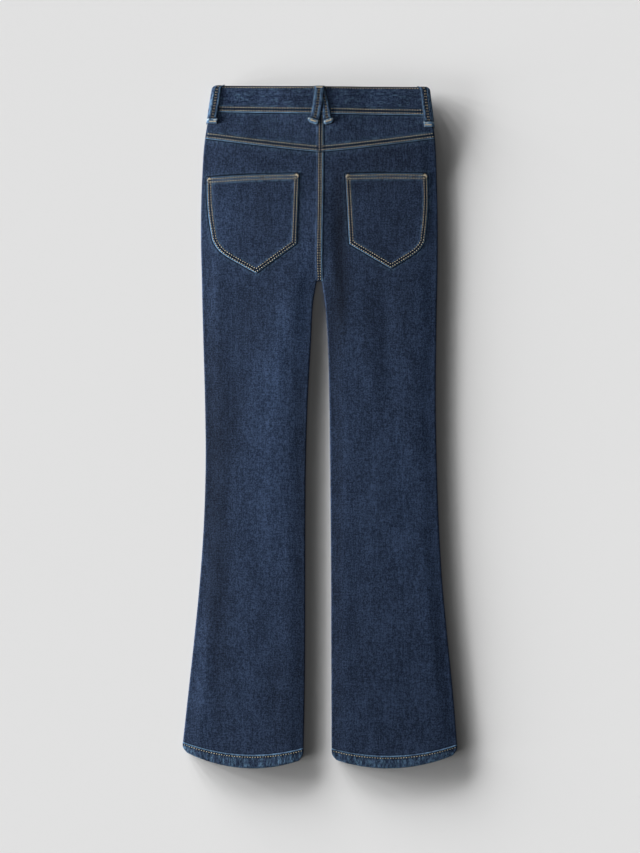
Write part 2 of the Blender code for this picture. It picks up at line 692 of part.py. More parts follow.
def main():
    for old in list(bpy.data.objects):
        bpy.data.objects.remove(old)
    parts = collection_named("bootcut_jeans")
    cutters = collection_named("cutters")
    denim = material("denim", DENIM_BLUE)
    brass = material("brass", BRASS)
    tape = material("zip_tape", TAPE_BLUE)
    for side, word in ((-1, "left"), (1, "right")):
        back_leg(side, "back_" + word, denim, parts)
        yoke(side, "yoke_" + word, denim, parts)
        front_leg(side, "front_" + word, denim, parts)
        hem(side, "hem_" + word, denim, parts)
        side_loop(side, "loop_side_" + word, denim, parts)
        front_loop(side, "loop_front_" + word, denim, parts)
    back_pocket(-1, "pocket_left", LEFT_POCKET, denim, parts)
    back_pocket(1, "pocket_right", RIGHT_POCKET, denim, parts)
    waistband(denim, parts, cutters)
    for row in CROSS_LOOPS:
        cross_loop(row, denim, parts)
    zip_tape(tape, parts)
    button(brass, parts)


main()
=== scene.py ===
"""Bootcut jeans laid flat with the back up: the dressed scene, as a Blender add-on that is run as a script.

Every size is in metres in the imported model's frame: +X to the right of the garment as it lies, +Y towards
the waist, +Z up. The tables and curves below repeat the solids' own, so each piece lies where its solid is.
"""
import math

import bpy
import numpy as np
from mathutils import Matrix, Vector


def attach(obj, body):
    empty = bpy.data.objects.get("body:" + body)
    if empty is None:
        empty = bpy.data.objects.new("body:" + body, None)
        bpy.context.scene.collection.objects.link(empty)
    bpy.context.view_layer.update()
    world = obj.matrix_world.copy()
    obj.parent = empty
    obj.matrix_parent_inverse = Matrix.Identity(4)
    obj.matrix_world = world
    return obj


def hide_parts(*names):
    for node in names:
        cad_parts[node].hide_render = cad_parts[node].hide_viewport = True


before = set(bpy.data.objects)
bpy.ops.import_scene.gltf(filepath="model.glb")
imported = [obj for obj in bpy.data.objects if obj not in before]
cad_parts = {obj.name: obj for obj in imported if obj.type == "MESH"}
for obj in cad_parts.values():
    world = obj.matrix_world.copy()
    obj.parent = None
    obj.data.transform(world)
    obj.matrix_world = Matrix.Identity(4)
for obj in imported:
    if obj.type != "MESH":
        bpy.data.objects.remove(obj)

bl_info = {
    "name": "Bootcut jeans",
    "version": (1, 0, 0),
    "blender": (4, 5, 0),
    "location": "3D View > Sidebar > Jeans",
    "description": "Builds a pair of denim bootcut jeans, laid flat with the back up",
    "category": "Add Mesh",
}

MM = 0.001
SIDES = ((-1, "left"), (1, "right"))

# Cloth and gaps
BAND_PLY = 1.7 * MM
LOOP_PLY = 1.5 * MM
SEAM = 0.3 * MM
FLOOR_CLEAR = 0.5 * MM          # what lies under stays this far off the floor, for its stitches

# Lengths along the garment
WAIST_SEAM = 449.0 * MM
WAIST_TOP = 488.1 * MM
WAIST_TILT = -0.0110
BAND_WIDENING = 0.0045
WAIST_CORNER = 5.0 * MM
FRONT_DIP = 8.0 * MM
DIP_REACH = 145.0 * MM
YOKE_POINT = 394.5 * MM
YOKE_RISE = 19.0 * MM
HALF_HIP = 166.0 * MM
CROTCH = 208.8 * MM
FLY_LENGTH = 150.0 * MM

# Heights above the floor
EDGE_HEIGHT = 3.5 * MM
CROWN = 1.4 * MM
CROWN_REACH = 24.0 * MM
SEAT_BLEND = 70.0 * MM
BAND_FLOOR = 2.3 * MM
BAND_TOP = 6.6 * MM
BAND_OVERLAP_RISE = 1.9 * MM
OVERLAP_FLAT = 26.0 * MM
OVERLAP_END = 78.0 * MM
WAIST_LIFT = 2.65 * MM
LIFT_START = 380.0 * MM
HEM_CORNER = 7.0 * MM
HEM_TURN = 8.0 * MM
HEM_UNDERLAY = 1.5 * MM
HEM_LEVEL = -460.0 * MM         # just above both hems
HEM_GAP = 0.03 * MM             # between a leg's end and its hem
END_BEND = 60.0 * MM            # a panel's rows bend to its ends' curves over this much
LOW_LIMIT = 2.75 * MM
HIGH_LIMIT = 6.0 * MM

# Rolled edges
ROLL = 2.3 * MM
TAIL = 3.4 * MM
SEAT_STRIP = 10.0 * MM
ROLL_STEPS = 9

# Felled and turned edges
FELL_LIFT = 0.55 * MM           # how far a felled seam's band stands proud
YOKE_FELL = 9.0 * MM            # and how wide it is at the yoke seam
CENTRE_FELL = 9.2 * MM          # and at the centre back seam
FELL_STEP = 1.0 * MM            # over which its far side falls away
POCKET_LIFT = 0.95 * MM         # a pocket's face above its panel
POCKET_HEM = 10.5 * MM          # turned hem at a pocket's mouth
HEM_LIFT = 0.7 * MM

# Outline of each leg, in mm from the garment's centre line
LEG_COLUMNS = ("y", "outer", "inner")
LEFT_LEG = (
    (489.5, 152.5, 0.0), (469.0, 155.5, 0.0), (450.0, 158.5, 0.0), (412.0, 164.8, 0.0),
    (354.0, 169.0, 0.0), (268.0, 170.5, 0.0), (208.8, 169.2, 4.4), (182.0, 168.7, 9.0),
    (125.0, 167.2, 12.4), (39.0, 164.8, 17.2), (-47.5, 163.8, 19.8), (-134.0, 166.2, 20.6),
    (-220.0, 172.0, 20.8), (-306.0, 180.4, 21.0), (-392.0, 189.8, 21.8), (-461.0, 197.4, 23.2),
)
RIGHT_LEG = (
    (489.5, 156.0, 0.0), (469.0, 158.0, 0.0), (450.0, 160.5, 0.0), (412.0, 165.5, 0.0),
    (354.0, 168.0, 0.0), (268.0, 169.4, 0.0), (208.8, 168.8, 3.2), (182.0, 168.1, 7.1),
    (125.0, 167.2, 11.4), (39.0, 166.5, 13.8), (-47.5, 167.8, 14.8), (-134.0, 170.7, 15.6),
    (-220.0, 175.6, 16.2), (-306.0, 183.6, 16.4), (-392.0, 192.1, 16.7), (-461.0, 197.5, 16.9),
)

# Lower edge of each hem: its lowest point in mm and its bow per metre squared; its depth and its upper bow
HEM_COLUMNS = ("lowest_y", "lowest_from_centre", "bow", "depth", "top_bow")
LEFT_HEM = (-489.7, 95.9, 2.50, 20.0, 1.85)
RIGHT_HEM = (-489.8, 98.0, 2.16, 18.6, 1.65)

# Centre back seam, in mm
SEAM_COLUMNS = ("y", "x")
CENTRE_SEAM = (
    (489.0, 5.4), (394.0, 5.5), (330.0, 5.2), (270.0, 4.2), (232.0, 4.0), (215.0, 4.6), (200.0, 5.2),
)

# Soft ridges and troughs of the back, in mm: both ends, half width and height of each
FOLD_COLUMNS = ("x0", "y0", "x1", "y1", "half_width", "height")
FOLDS = (
    (3, 390, 2, 225, 15, 0.7),
    (28, 330, 32, 180, 16, -0.9),
    (-34, 215, -62, 60, 19, 1.0),
    (-66, 45, -72, -150, 20, 0.6),
    (-112, 190, -122, -20, 22, -0.8),
    (-150, 250, -152, 150, 14, 0.5),
    (-140, -60, -148, -330, 20, -0.4),
    (-60, -200, -66, -420, 22, -0.4),
    (-160, -250, -172, -430, 16, 0.6),
    (62, 150, 84, 10, 20, 0.6),
    (92, 190, 106, 40, 14, -0.7),
    (120, 160, 126, -60, 20, 0.6),
    (84, -60, 96, -150, 26, 0.6),
    (52, -120, 50, -380, 18, -0.5),
    (140, -150, 158, -400, 20, 0.5),
    (100, -260, 108, -430, 24, 0.4),
)
# Smaller creases, given in the same columns
CREASES = (
    (10, 380, 22, 330, 6, 0.12),
    (-20, 372, -32, 330, 7, 0.14),
    (-8, 300, -14, 236, 5, -0.12),
    (14, 262, 24, 200, 6, 0.16),
    (-18, 240, -40, 196, 6, 0.14),
    (-70, 376, -110, 380, 5, 0.10),
    (60, 378, 112, 384, 5, 0.10),
    (-30, 120, -52, 60, 7, -0.12),
    (36, 120, 58, 40, 8, 0.14),
    (-96, 30, -110, -60, 8, 0.12),
    (112, 0, 120, -90, 8, -0.12),
    (-44, -300, -58, -440, 8, 0.12),
    (-120, -360, -132, -462, 9, 0.14),
    (70, -380, 76, -462, 8, 0.12),
    (150, -330, 166, -440, 8, -0.12),
    (-150, 420, -60, 428, 6, 0.10),
    (70, 432, 140, 424, 6, 0.10),
)
# Soft patches of tone in the same columns, the last being the change in tone: dye that has washed out or
# stayed, and painted shade and painted light on folds and rolled edges
DYE_AND_SHADE_PATCHES = (
    (-150, 130, -147, -360, 20, -0.36),
    (-72, 100, -68, -190, 27, 0.20),
    (-18, 268, -30, 90, 10, 0.42),
    (-24, 60, -25, -480, 8, -0.26),
    (30, 350, 30, 130, 13, -0.52),
    (14, 190, 14, 10, 9, -0.26),
    (27, 80, 24, -480, 9, -0.26),
    (150, 240, 155, -290, 15, 0.16),
    (116, -20, 120, -220, 20, 0.15),
    (92, 330, 96, 120, 52, -0.15),
    (85, 420, 86, 335, 62, -0.24),
    (-86, 425, -84, 340, 62, -0.10),
    (-104, 200, -98, 105, 22, -0.18),
    (-100, 474, -60, 474, 14, 0.30),
    (60, 474, 110, 474, 14, 0.24),
    (-64, -330, -44, -470, 20, -0.16),
    (60, -250, 64, -400, 22, -0.10),
    (-46, 175, -64, 40, 13, 0.20),
    (-114, 75, -132, -60, 20, -0.17),
    (-134, 350, -142, 240, 13, 0.20),
    (-150, 471, -104, 474, 14, 0.34),
    (-161, 370, -160, -220, 8, -0.13),
    (-161, -310, -164, -470, 9, 0.15),
    (163, 385, 166, 300, 8, 0.30),
    (-86, 345, -86, 275, 11, -0.17),
    (-74, 345, -70, 180, 9, -0.10),
)
FOLD_TAPER = 0.25

# Back pockets, in mm
POCKET_COLUMNS = (
    "mouth_in", "mouth_out", "mouth_in_y", "mouth_out_y",
    "corner_in", "corner_in_y", "corner_out", "corner_out_y", "tip", "tip_y", "side_bow", "corner_bow",
)
LEFT_POCKET = (-29.7, -161.9, 363.7, 357.7, -33.3, 262.5, -154.0, 268.5, -91.0, 220.2, 2.5, 13.0)
RIGHT_POCKET = (36.8, 154.3, 362.6, 363.3, 42.4, 262.4, 150.6, 266.5, 102.2, 226.9, 2.8, 10.0)
MOUTH_BOW = 1.2 * MM

# Belt loops
LOOP_WIDTH = 12.5 * MM
LOOP_FOOT = 14.3 * MM
SIDE_FOOT = 16.3 * MM
LOOP_RIM = 1.4 * MM
SIDE_ROWS = 0.70                # how far round a side loop its two rows lie, as a share
LOOP_SLACK = 0.5 * MM
LOOP_PROUD = 0.3 * MM
# Edges of the two centre back loops: share of its length from the foot up, then left and right edge in mm
RIGHT_EDGES = (
    (0.0, 9.0, 16.6), (0.02, 7.2, 18.4), (0.05, 6.3, 19.2), (0.09, 6.2, 19.2), (0.12, 6.6, 18.0),
    (0.14, 6.0, 16.2), (0.2, 4.8, 15.4), (0.5, 4.9, 12.5), (0.86, 1.5, 7.6), (1.0, -3.0, 5.6),
)
LEFT_EDGES = (
    (0.0, -13.8, -5.4), (0.02, -15.6, -3.6), (0.05, -16.6, -2.6), (0.09, -16.4, -2.4), (0.12, -15.4, -2.4),
    (0.14, -13.4, -1.6), (0.2, -12.0, -0.6), (0.5, -9.3, 3.0), (1.0, -6.4, 6.0),
)
CROSS_COLUMNS = ("name", "edges", "foot_slope", "lies_over")
CROSS_LOOPS = (
    ("loop_cross_right", RIGHT_EDGES, 0.33, False),
    ("loop_cross_left", LEFT_EDGES, -0.35, True),
)
CROSSING = (0.30, 0.60)
LOOP_STITCHES = 0.09            # its two rows lie this share of the width from the middle
LOOP_MOTTLE = 1.0               # how unevenly a loop's edges are worn, in mm from the edge
FOOT_BARE = 2.2                 # and how bare its foot is in spots
RIM_STEPS = (0.51, 0.6)         # half widths at which a loop's rim starts and ends; the rim is painted black as shade
FOOT_STEPS = (-0.02, -0.002)    # and the same below its foot, as shares of its length
FOOT_WORN_TO = 0.12             # up to this share of a loop its foot is bare in spots
FOOT_SHADE = 0.135              # where the line of painted shade above its folded foot lies
ROWS_FROM = 0.14                # and where its rows of stitches start
LOOP_GAP = 0.15 * MM            # between the waistband and a loop that lies on it
SIDE_LOOP_REACH = 9.0 * MM
FRONT_LOOP_X = 76.0 * MM

# Closure
OVERLAP = 20.0 * MM
TUCK = (44.0 * MM, 23.0 * MM)
BUTTON_RADIUS = 8.5 * MM
BUTTON_CAP = 2.0 * MM
SHANK_RADIUS = 2.5 * MM
EYELET_RADIUS = 2.9 * MM
ZIP_WIDTH = 24.0 * MM
ZIP_THICKNESS = 0.9 * MM
ZIP_BELOW_WAIST = 2.0 * MM
ZIP_LIFT = 1.1 * MM             # above the underside of the front legs
TOOTH_PITCH = 2.0 * MM
FLY_WIDTH = 36.0 * MM

# Rows of topstitching, in mm from the edge that they follow
YOKE_ROWS = (2.9, 7.75)
CENTRE_ROWS = (3.4, 6.8)
YOKE_CENTRE_ROWS = (2.4, 6.2)
BAND_ROWS = (2.6, 7.2)
BAND_TOP_ROW = 2.2
POCKET_ROWS = (1.9, 5.6)
MOUTH_ROWS = (2.9, 7.2)
HEM_ROW = 4.0                   # below the hem's upper edge

# Shadows and wear beside seams
SEAM_SHALLOW = 330.0 * MM       # below this height the centre seam casts less and less of a shadow
SHALLOW_LOSS = 1.9 * MM         # until it is read as this much further off
SHALLOW_REACH = 50.0 * MM       # over this much of the leg
BESIDE_FELL = 0.4               # the right panel is rubbed this much as the fell on the left one
SHADE_WIDENING = (0.75, 0.35 * MM)  # left of a pocket, how its distance is cut: a factor, then a length
LIT_EDGE_DULLING = 0.6 * MM     # a pocket's edge towards the light is read as this much further off: painted shade that narrows its pale worn edge there
LIT_BLEND = (12.0 * MM, 15.0 * MM)  # which fades out over this much, across and up
FAR = 50.0                      # mm: further than any mark's shading reaches

# Stitches
STITCH_RINGS = ((-1.0, 0.45, -0.55), (-0.55, 0.95, 0.1), (0.55, 0.95, 0.1), (1.0, 0.45, -0.55))
STITCH_SIDES = 6
STITCH_TIP = 1.08               # its tips lie this share of half its length from its middle
SUNK_IN_WARP = 0.28             # stitches along the warp sink into it and look this much thinner
EYELET_STRANDS = 34


# ---------------------------------------------------------------- curves and heights

def smooth(t):
    """3t^2 - 2t^3, with t held between 0 and 1."""
    t = np.clip(t, 0.0, 1.0)
    return t * t * (3.0 - 2.0 * t)


def along(table, column, y):
    """A column of a table (mm) at height y: a cubic through its rows, with central slopes."""
    rows = np.array(sorted(table), float)
    at, value = rows[:, 0] * MM, rows[:, column] * MM
    slope = np.gradient(value, at)
    y = np.clip(np.asarray(y, float), at[0], at[-1])
    i = np.clip(np.searchsorted(at, y) - 1, 0, len(at) - 2)
    step = at[i + 1] - at[i]
    t = (y - at[i]) / step
    rise = value[i] * (1 + 2 * t) * (1 - t) ** 2 + value[i + 1] * t * t * (3 - 2 * t)
    return rise + step * (slope[i] * t * (1 - t) ** 2 - slope[i + 1] * t * t * (1 - t))


def named(row, columns):
    return dict(zip(columns, row))


def hem_shape(side):
    return named(LEFT_HEM if side < 0 else RIGHT_HEM, HEM_COLUMNS)


def outer_edge(side, y):
    """Outer edge's distance from the centre line: the traced one, rounded at the waist's corner."""
    edge = along(LEFT_LEG if side < 0 else RIGHT_LEG, LEG_COLUMNS.index("outer"), y)
    past = np.clip((y - band_top(side * edge)) / WAIST_CORNER + 1.0, 0.0, 1.0)
    return edge - WAIST_CORNER * (1.0 - np.sqrt(1.0 - 0.97 * past ** 2))


def inner_edge(side, y):
    return along(LEFT_LEG if side < 0 else RIGHT_LEG, LEG_COLUMNS.index("inner"), y)


def centre_seam(side, y):
    """Distance of the centre back seam from the centre line, towards this side."""
    return side * along(CENTRE_SEAM, SEAM_COLUMNS.index("x"), y)


def band_bottom(x):
    return WAIST_SEAM + (WAIST_TILT - BAND_WIDENING) * x


def band_top(x):
    return WAIST_TOP + (WAIST_TILT + BAND_WIDENING) * x


def yoke_seam(x):
    return YOKE_POINT + YOKE_RISE * (np.abs(x) / HALF_HIP) ** 1.15


def hem_bottom(side, w):
    shape = hem_shape(side)
    return shape["lowest_y"] * MM + shape["bow"] * (w - shape["lowest_from_centre"] * MM) ** 2


def hem_top(side, w):
    shape = hem_shape(side)
    away = w - shape["lowest_from_centre"] * MM
    return (shape["lowest_y"] + shape["depth"]) * MM + shape["top_bow"] * away ** 2


def front_dip(x):
    return FRONT_DIP * (1.0 - np.clip(np.abs(x) / DIP_REACH, 0.0, 1.0) ** 2)


def underside(y):
    """Height of the cloth's underside: just off the floor, and lifted near the waist."""
    return FLOOR_CLEAR + WAIST_LIFT * smooth((y - LIFT_START) / (WAIST_SEAM - LIFT_START))


def overlap_rise(x):
    return BAND_OVERLAP_RISE * smooth((OVERLAP_END - np.abs(x)) / (OVERLAP_END - OVERLAP_FLAT))


def banks(table, x, y):
    """Sum of rounded banks: height * exp(-(distance from the line / half width)^2), with tapering ends."""
    total = np.zeros(np.broadcast(x, y).shape)
    for row in table:
        bank = {column: value * MM for column, value in named(row, FOLD_COLUMNS).items()}
        across, up = bank["x1"] - bank["x0"], bank["y1"] - bank["y0"]
        length = math.hypot(across, up)
        t = ((x - bank["x0"]) * across + (y - bank["y0"]) * up) / length ** 2
        off = ((x - bank["x0"]) * up - (y - bank["y0"]) * across) / length
        ends = smooth((0.5 - np.abs(t - 0.5) + FOLD_TAPER) / (2.0 * FOLD_TAPER))
        total = total + bank["height"] * ends * np.exp(-((off / bank["half_width"]) ** 2))
    return total


def lattice(i, j, seed):
    """A fixed number from -1 to 1 for each whole i and j: the fraction of a large sine."""
    value = np.sin(i * 127.1 + j * 311.7 + seed * 74.7) * 43758.5453
    return 2.0 * (value - np.floor(value)) - 1.0


def noise(x, y, wide, high, seed):
    """Soft noise from -1 to 1: the lattice's numbers, blended over cells of wide by high."""
    u, v = x / wide, y / high
    i, j = np.floor(u), np.floor(v)
    s, t = smooth(u - i), smooth(v - j)
    low = lattice(i, j, seed) * (1 - s) + lattice(i + 1, j, seed) * s
    high_side = lattice(i, j + 1, seed) * (1 - s) + lattice(i + 1, j + 1, seed) * s
    return low * (1 - t) + high_side * t


def band_of(distance, width, step):
    """1 from an edge out to width, then falling to 0 over step."""
    return smooth((width + step - distance) / step)


def cloth_height(side, w, y):
    """Outer face of the back's cloth, with its folds and creases, before its seams are laid on."""
    x = side * w
    at_waist = smooth((y - YOKE_POINT) / (WAIST_SEAM - YOKE_POINT))
    from_outer = smooth((outer_edge(side, y) - ROLL - w) / CROWN_REACH)
    from_inner = smooth((w - inner_edge(side, y) - ROLL) / CROWN_REACH)
    above_crotch = smooth((y - CROTCH) / SEAT_BLEND)
    from_inner = from_inner + (1.0 - from_inner) * above_crotch
    inside = from_outer * from_inner
    body = EDGE_HEIGHT + inside * (CROWN + banks(FOLDS, x, y)) * (1.0 - at_waist)
    body = np.clip(body, LOW_LIMIT, HIGH_LIMIT)
    small = banks(CREASES, x, y) + 0.10 * MM * noise(x, y, 26 * MM, 44 * MM, 3)
    small = small + 0.05 * MM * noise(x, y, 9 * MM, 17 * MM, 8)
    return underside(y) - FLOOR_CLEAR + body + np.sqrt(inside) * small + at_waist * overlap_rise(x)


def near_rows(distance, rows):
    """Distance to a seam's two rows and to the trough between them, from the distance to its edge."""
    to_row = np.min([np.abs(distance - row * MM) for row in rows], axis=0)
    return np.minimum(to_row, np.abs(distance - 0.5 * (rows[0] + rows[1]) * MM) - 0.2 * MM)


def puckers(run, off, seed, height=0.16 * MM):
    """Small uneven dimples along a sewn edge, fading away from it."""
    fade = np.exp(-((off / (6.0 * MM)) ** 2))
    return height * fade * noise(run, off, 3.6 * MM, 9.0 * MM, seed)


def leg_face(side, w, y):
    """The back leg's face: felled over its neighbour at the centre seam on the left, and dimpled at seams."""
    x = side * w
    z = cloth_height(side, w, y)
    above = smooth((y - CROTCH) / (12.0 * MM))
    from_seam = w - centre_seam(side, y)
    if side < 0:
        z = z + FELL_LIFT * above * band_of(from_seam, CENTRE_FELL, FELL_STEP)
    z = z + above * puckers(y, from_seam - 8.0 * MM, 11 + side)
    below_yoke = yoke_seam(x) - y
    z = z + puckers(x, below_yoke, 14) - 0.35 * MM * band_of(below_yoke, 0.8 * MM, 1.6 * MM)
    above_hem = y - hem_top(side, w)
    return z + puckers(x, above_hem, 16, 0.12 * MM)


def yoke_face(side, w, y):
    """The yoke's face, felled over the leg below it and over its neighbour on the left."""
    x = side * w
    z = cloth_height(side, w, y)
    from_seam = w - centre_seam(side, y)
    fell = band_of(y - yoke_seam(x), YOKE_FELL, FELL_STEP)
    if side < 0:
        centre = band_of(from_seam, CENTRE_FELL, FELL_STEP)
        fell = np.maximum(fell, centre) + 0.4 * np.minimum(fell, centre)
    z = z + FELL_LIFT * fell + puckers(x, y - yoke_seam(x) - 9.0 * MM, 21)
    z = z + puckers(y, from_seam - 8.0 * MM, 23)
    below_band = band_bottom(x) - y
    return z + puckers(x, below_band, 25) - 0.3 * MM * band_of(below_band, 0.8 * MM, 1.6 * MM)


def hem_face(side, w, y):
    """The hem's face: a ridge where its turned-up ply ends, slanting ropes below it and a rounded fold."""
    x = side * w
    up, down = y - hem_bottom(side, w), hem_top(side, w) - y
    z = cloth_height(side, w, np.maximum(y, HEM_LEVEL))
    ridge = 1.0 + 0.5 * np.exp(-(((down - 1.9 * MM) / (1.1 * MM)) ** 2))
    z = z + HEM_LIFT * smooth(down / (1.6 * MM)) * ridge
    slant = x - side * 0.15 * up
    ropes = noise(slant, up, 3.6 * MM, 17.0 * MM, 31) + 0.6 * noise(slant, up, 2.2 * MM, 10.0 * MM, 33)
    z = z + 0.26 * MM * ropes * smooth(down / (3.0 * MM))
    groove = np.exp(-(((down - HEM_ROW * MM) / (1.0 * MM)) ** 2))
    return z - 0.22 * MM * groove - 0.5 * MM * (1.0 - smooth(up / (1.6 * MM)))


def band_height(x, y):
    """Outer face of the waistband's back run: seams at both edges stand proud of its middle."""
    up = y - band_bottom(x)
    down = band_top(x) - y
    z = BAND_TOP + overlap_rise(x)
    z = z + 0.14 * MM * noise(x, y, 30 * MM, 22 * MM, 41) + 0.05 * MM * noise(x, y, 12 * MM, 5 * MM, 43)
    z = z + 0.22 * MM * band_of(up, 8.6 * MM, 1.2 * MM) + puckers(x, up - 7.2 * MM, 45)
    z = z + puckers(x, down - 1.4 * MM, 47, 0.12 * MM)
    return z - 0.25 * MM * (1 - smooth(down / (1.2 * MM))) - 0.2 * MM * (1 - smooth(up / (0.9 * MM)))


def pocket_height(side, x, y, from_edge, below_mouth):
    """A patch pocket's face above its panel: hemmed at the mouth, turned in and dimpled along its edges."""
    z = cloth_height(side, side * x, y) + POCKET_LIFT
    z = z + 0.28 * MM * band_of(below_mouth, POCKET_HEM, 0.8 * MM)
    turned_in = 0.14 * MM * band_of(from_edge, 7.0 * MM, 1.0 * MM)
    z = z + turned_in - 0.3 * MM * (1 - smooth(from_edge / (0.9 * MM)))
    dimples = noise(x, y, 4.0 * MM, 4.0 * MM, 51) * np.exp(-(((from_edge - 5.0 * MM) / (4.5 * MM)) ** 2))
    return z + 0.13 * MM * dimples


# ---------------------------------------------------------------- meshes

def spaced(*stops):
    """Rising positions through stops (position, step): each stretch is cut into equal steps."""
    made = [np.array([stops[0][0]])]
    for (low, step), (high, _) in zip(stops, stops[1:]):
        count = max(1, int(round((high - low) / step)))
        made.append(np.linspace(low, high, count + 1)[1:])
    return np.concatenate(made)


def quads(rows, columns):
    """Faces of a grid, facing up where columns run along +X and rows along +Y."""
    first = (np.arange(rows - 1)[:, None] * columns + np.arange(columns - 1)).ravel()
    return np.stack([first, first + 1, first + columns + 1, first + columns], axis=1)


def mesh_of(name, points, faces):
    """A smooth-shaded mesh from arrays of points and faces."""
    mesh = bpy.data.meshes.new(name)
    mesh.from_pydata(points.reshape(-1, 3).tolist(), [], faces.tolist())
    mesh.polygons.foreach_set("use_smooth", np.ones(len(mesh.polygons), bool))
    mesh.update()
    return mesh


def collection_of(name):
    """The scene's collection of that name, made on first use."""
    made = bpy.data.collections.get(name)
    if made is None:
        made = bpy.data.collections.new(name)
        bpy.context.scene.collection.children.link(made)
    return made


# Only these shade the floor from the low lights: pockets, loops, stitches and metal don't
SHADING_PIECES = (
    "back_leg_left", "back_leg_right", "front_leg_left", "front_leg_right", "back_yoke_left",
    "back_yoke_right", "turned_hem_left", "turned_hem_right", "waist_band",
)


def piece(name, mesh, material, nodes=()):
    """An object that rides on the jeans and stands for the given CAD nodes."""
    mesh.materials.append(material)
    made = bpy.data.objects.new(name, mesh)
    collection_of("jeans").objects.link(made)
    if name in SHADING_PIECES:
        collection_of("shades_floor").objects.link(made)
    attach(made, "root")
    if nodes:
        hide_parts(*nodes)
    return made


def thicken_and_state(made, thickness):
    """Thicken a sheet inwards."""
    solidify = made.modifiers.new("cloth", "SOLIDIFY")
    solidify.thickness = thickness
    solidify.offset = -1.0


def cloth(name, points, thickness, material, nodes, marks, left_out=None):
    """A sheet of cloth: a grid on its outer face, thickened inwards.

    Marks are per-point numbers that the denim reads: mm from a worn edge, mm from a line of painted shade, mm
    from a row of stitches, where painted shade darkens the cloth too, and how rubbed the cloth is. How its
    tone changes, with washed-out and kept dye and with painted shade and light, is added here. Cells marked
    True in left_out aren't made.
    """
    rows, columns = points.shape[:2]
    faces = quads(rows, columns)
    if left_out is not None:
        faces = faces[~left_out.ravel()]
    mesh = mesh_of(name, points, faces)
    # Patches of washed-out and kept dye, with painted shade and light on folds and rolled edges
    dye_and_painted_shade = banks(DYE_AND_SHADE_PATCHES, points[..., 0], points[..., 1]) / MM
    for mark, values in {"sewn": FAR, **marks, "fade": dye_and_painted_shade}.items():
        attribute = mesh.attributes.new(mark, "FLOAT", "POINT")
        spread = np.broadcast_to(values, (rows, columns))
        attribute.data.foreach_set("value", spread.astype(np.float32).ravel())
    made = piece(name, mesh, material, nodes)
    thicken_and_state(made, thickness)
    return made


def facing(points, side):
    """Columns in the order that turns the outer face up, on either side of the garment."""
    return points if side > 0 else points[:, ::-1]


def marks_of(side, worn, deep, rubbed, sewn):
    """Marks from distances in metres and from how rubbed the cloth is, in the piece's own order."""
    marks = {"worn": worn / MM, "deep": deep / MM, "rubbed": rubbed, "sewn": sewn / MM}
    return {mark: facing(value, side) for mark, value in marks.items()}


def nearest(path, x, y):
    """Distance from each point to the nearest segment of a path (n by 2)."""
    start, step = path[:-1], np.diff(path, axis=0)
    flat = np.stack([np.ravel(x), np.ravel(y)], axis=1)
    best = np.full(len(flat), np.inf)
    for (sx, sy), (dx, dy) in zip(start, step):
        t = np.clip(((flat[:, 0] - sx) * dx + (flat[:, 1] - sy) * dy) / (dx * dx + dy * dy + 1e-18), 0, 1)
        best = np.minimum(best, np.hypot(flat[:, 0] - sx - t * dx, flat[:, 1] - sy - t * dy))
    return best.reshape(np.shape(x))


def within(path, x, y):
    """True for points inside a closed path, by counting the edges crossed on the way out along +X."""
    inside = np.zeros(np.shape(x), bool)
    for (ax, ay), (bx, by) in zip(path, np.roll(path, -1, axis=0)):
        crosses = (ay > y) != (by > y)
        at = ax + (y - ay) * (bx - ax) / (by - ay + 1e-18)
        inside ^= crosses & (x < at)
    return inside


# ---------------------------------------------------------------- materials

def new_material(name):
    """A material, its node tree, its shader and the place of each point on the object."""
    made = bpy.data.materials.new(name)
    made.use_nodes = True
    tree = made.node_tree
    where = tree.nodes.new("ShaderNodeTexCoord").outputs["Object"]
    return made, tree, tree.nodes["Principled BSDF"], where


def connect(tree, made, inputs):
    """Set a node's inputs to numbers, or link them to sockets."""
    for key, value in inputs.items():
        if isinstance(value, bpy.types.NodeSocket):
            tree.links.new(value, made.inputs[key])
        else:
            made.inputs[key].default_value = value


def node(tree, kind, inputs=None, **settings):
    """A shader node with its settings and its inputs."""
    made = tree.nodes.new(kind)
    for key, value in settings.items():
        setattr(made, key, value)
    connect(tree, made, inputs or {})
    return made


def math_node(tree, operation, *values):
    return node(tree, "ShaderNodeMath", dict(enumerate(values)), operation=operation).outputs[0]


def ranged(tree, value, low, high, to_low=0.0, to_high=1.0):
    """Value mapped from low..high to to_low..to_high along an S-curve."""
    inputs = {"Value": value, "From Min": low, "From Max": high, "To Min": to_low, "To Max": to_high}
    return node(tree, "ShaderNodeMapRange", inputs, interpolation_type="SMOOTHSTEP").outputs["Result"]


def noise_at(tree, vector, scale, detail, roughness=0.5):
    """Noise with that many repeats a metre along each axis."""
    stretched = node(tree, "ShaderNodeMapping", {"Vector": vector, "Scale": scale}).outputs[0]
    inputs = {"Vector": stretched, "Scale": 1.0, "Detail": detail, "Roughness": roughness}
    return node(tree, "ShaderNodeTexNoise", inputs).outputs["Fac"]


def mark_at(tree, mark):
    return node(tree, "ShaderNodeAttribute", attribute_name=mark).outputs["Fac"]


def raise_by(tree, shader, height, strength, distance):
    """Bump the shader's surface by a height."""
    inputs = {"Height": height, "Strength": strength, "Distance": distance}
    connect(tree, shader, {"Normal": node(tree, "ShaderNodeBump", inputs).outputs[0]})


def toned(colour, factor):
    """A colour made darker or paler, held below white."""
    return tuple(min(1.0, channel * factor) for channel in colour[:3])


def mixed(tree, factor, first, second):
    """Colour blended from first to second by factor."""
    made = tree.nodes.new("ShaderNodeMix")
    made.data_type = "RGBA"
    sockets = made.inputs["Factor"], made.inputs[6], made.inputs[7]
    for socket, value in zip(sockets, (factor, first, second)):
        if isinstance(value, bpy.types.NodeSocket):
            tree.links.new(value, socket)
        elif isinstance(value, (int, float)):
            socket.default_value = value
        else:
            socket.default_value = (*value[:3], 1.0)
    return made.outputs[2]


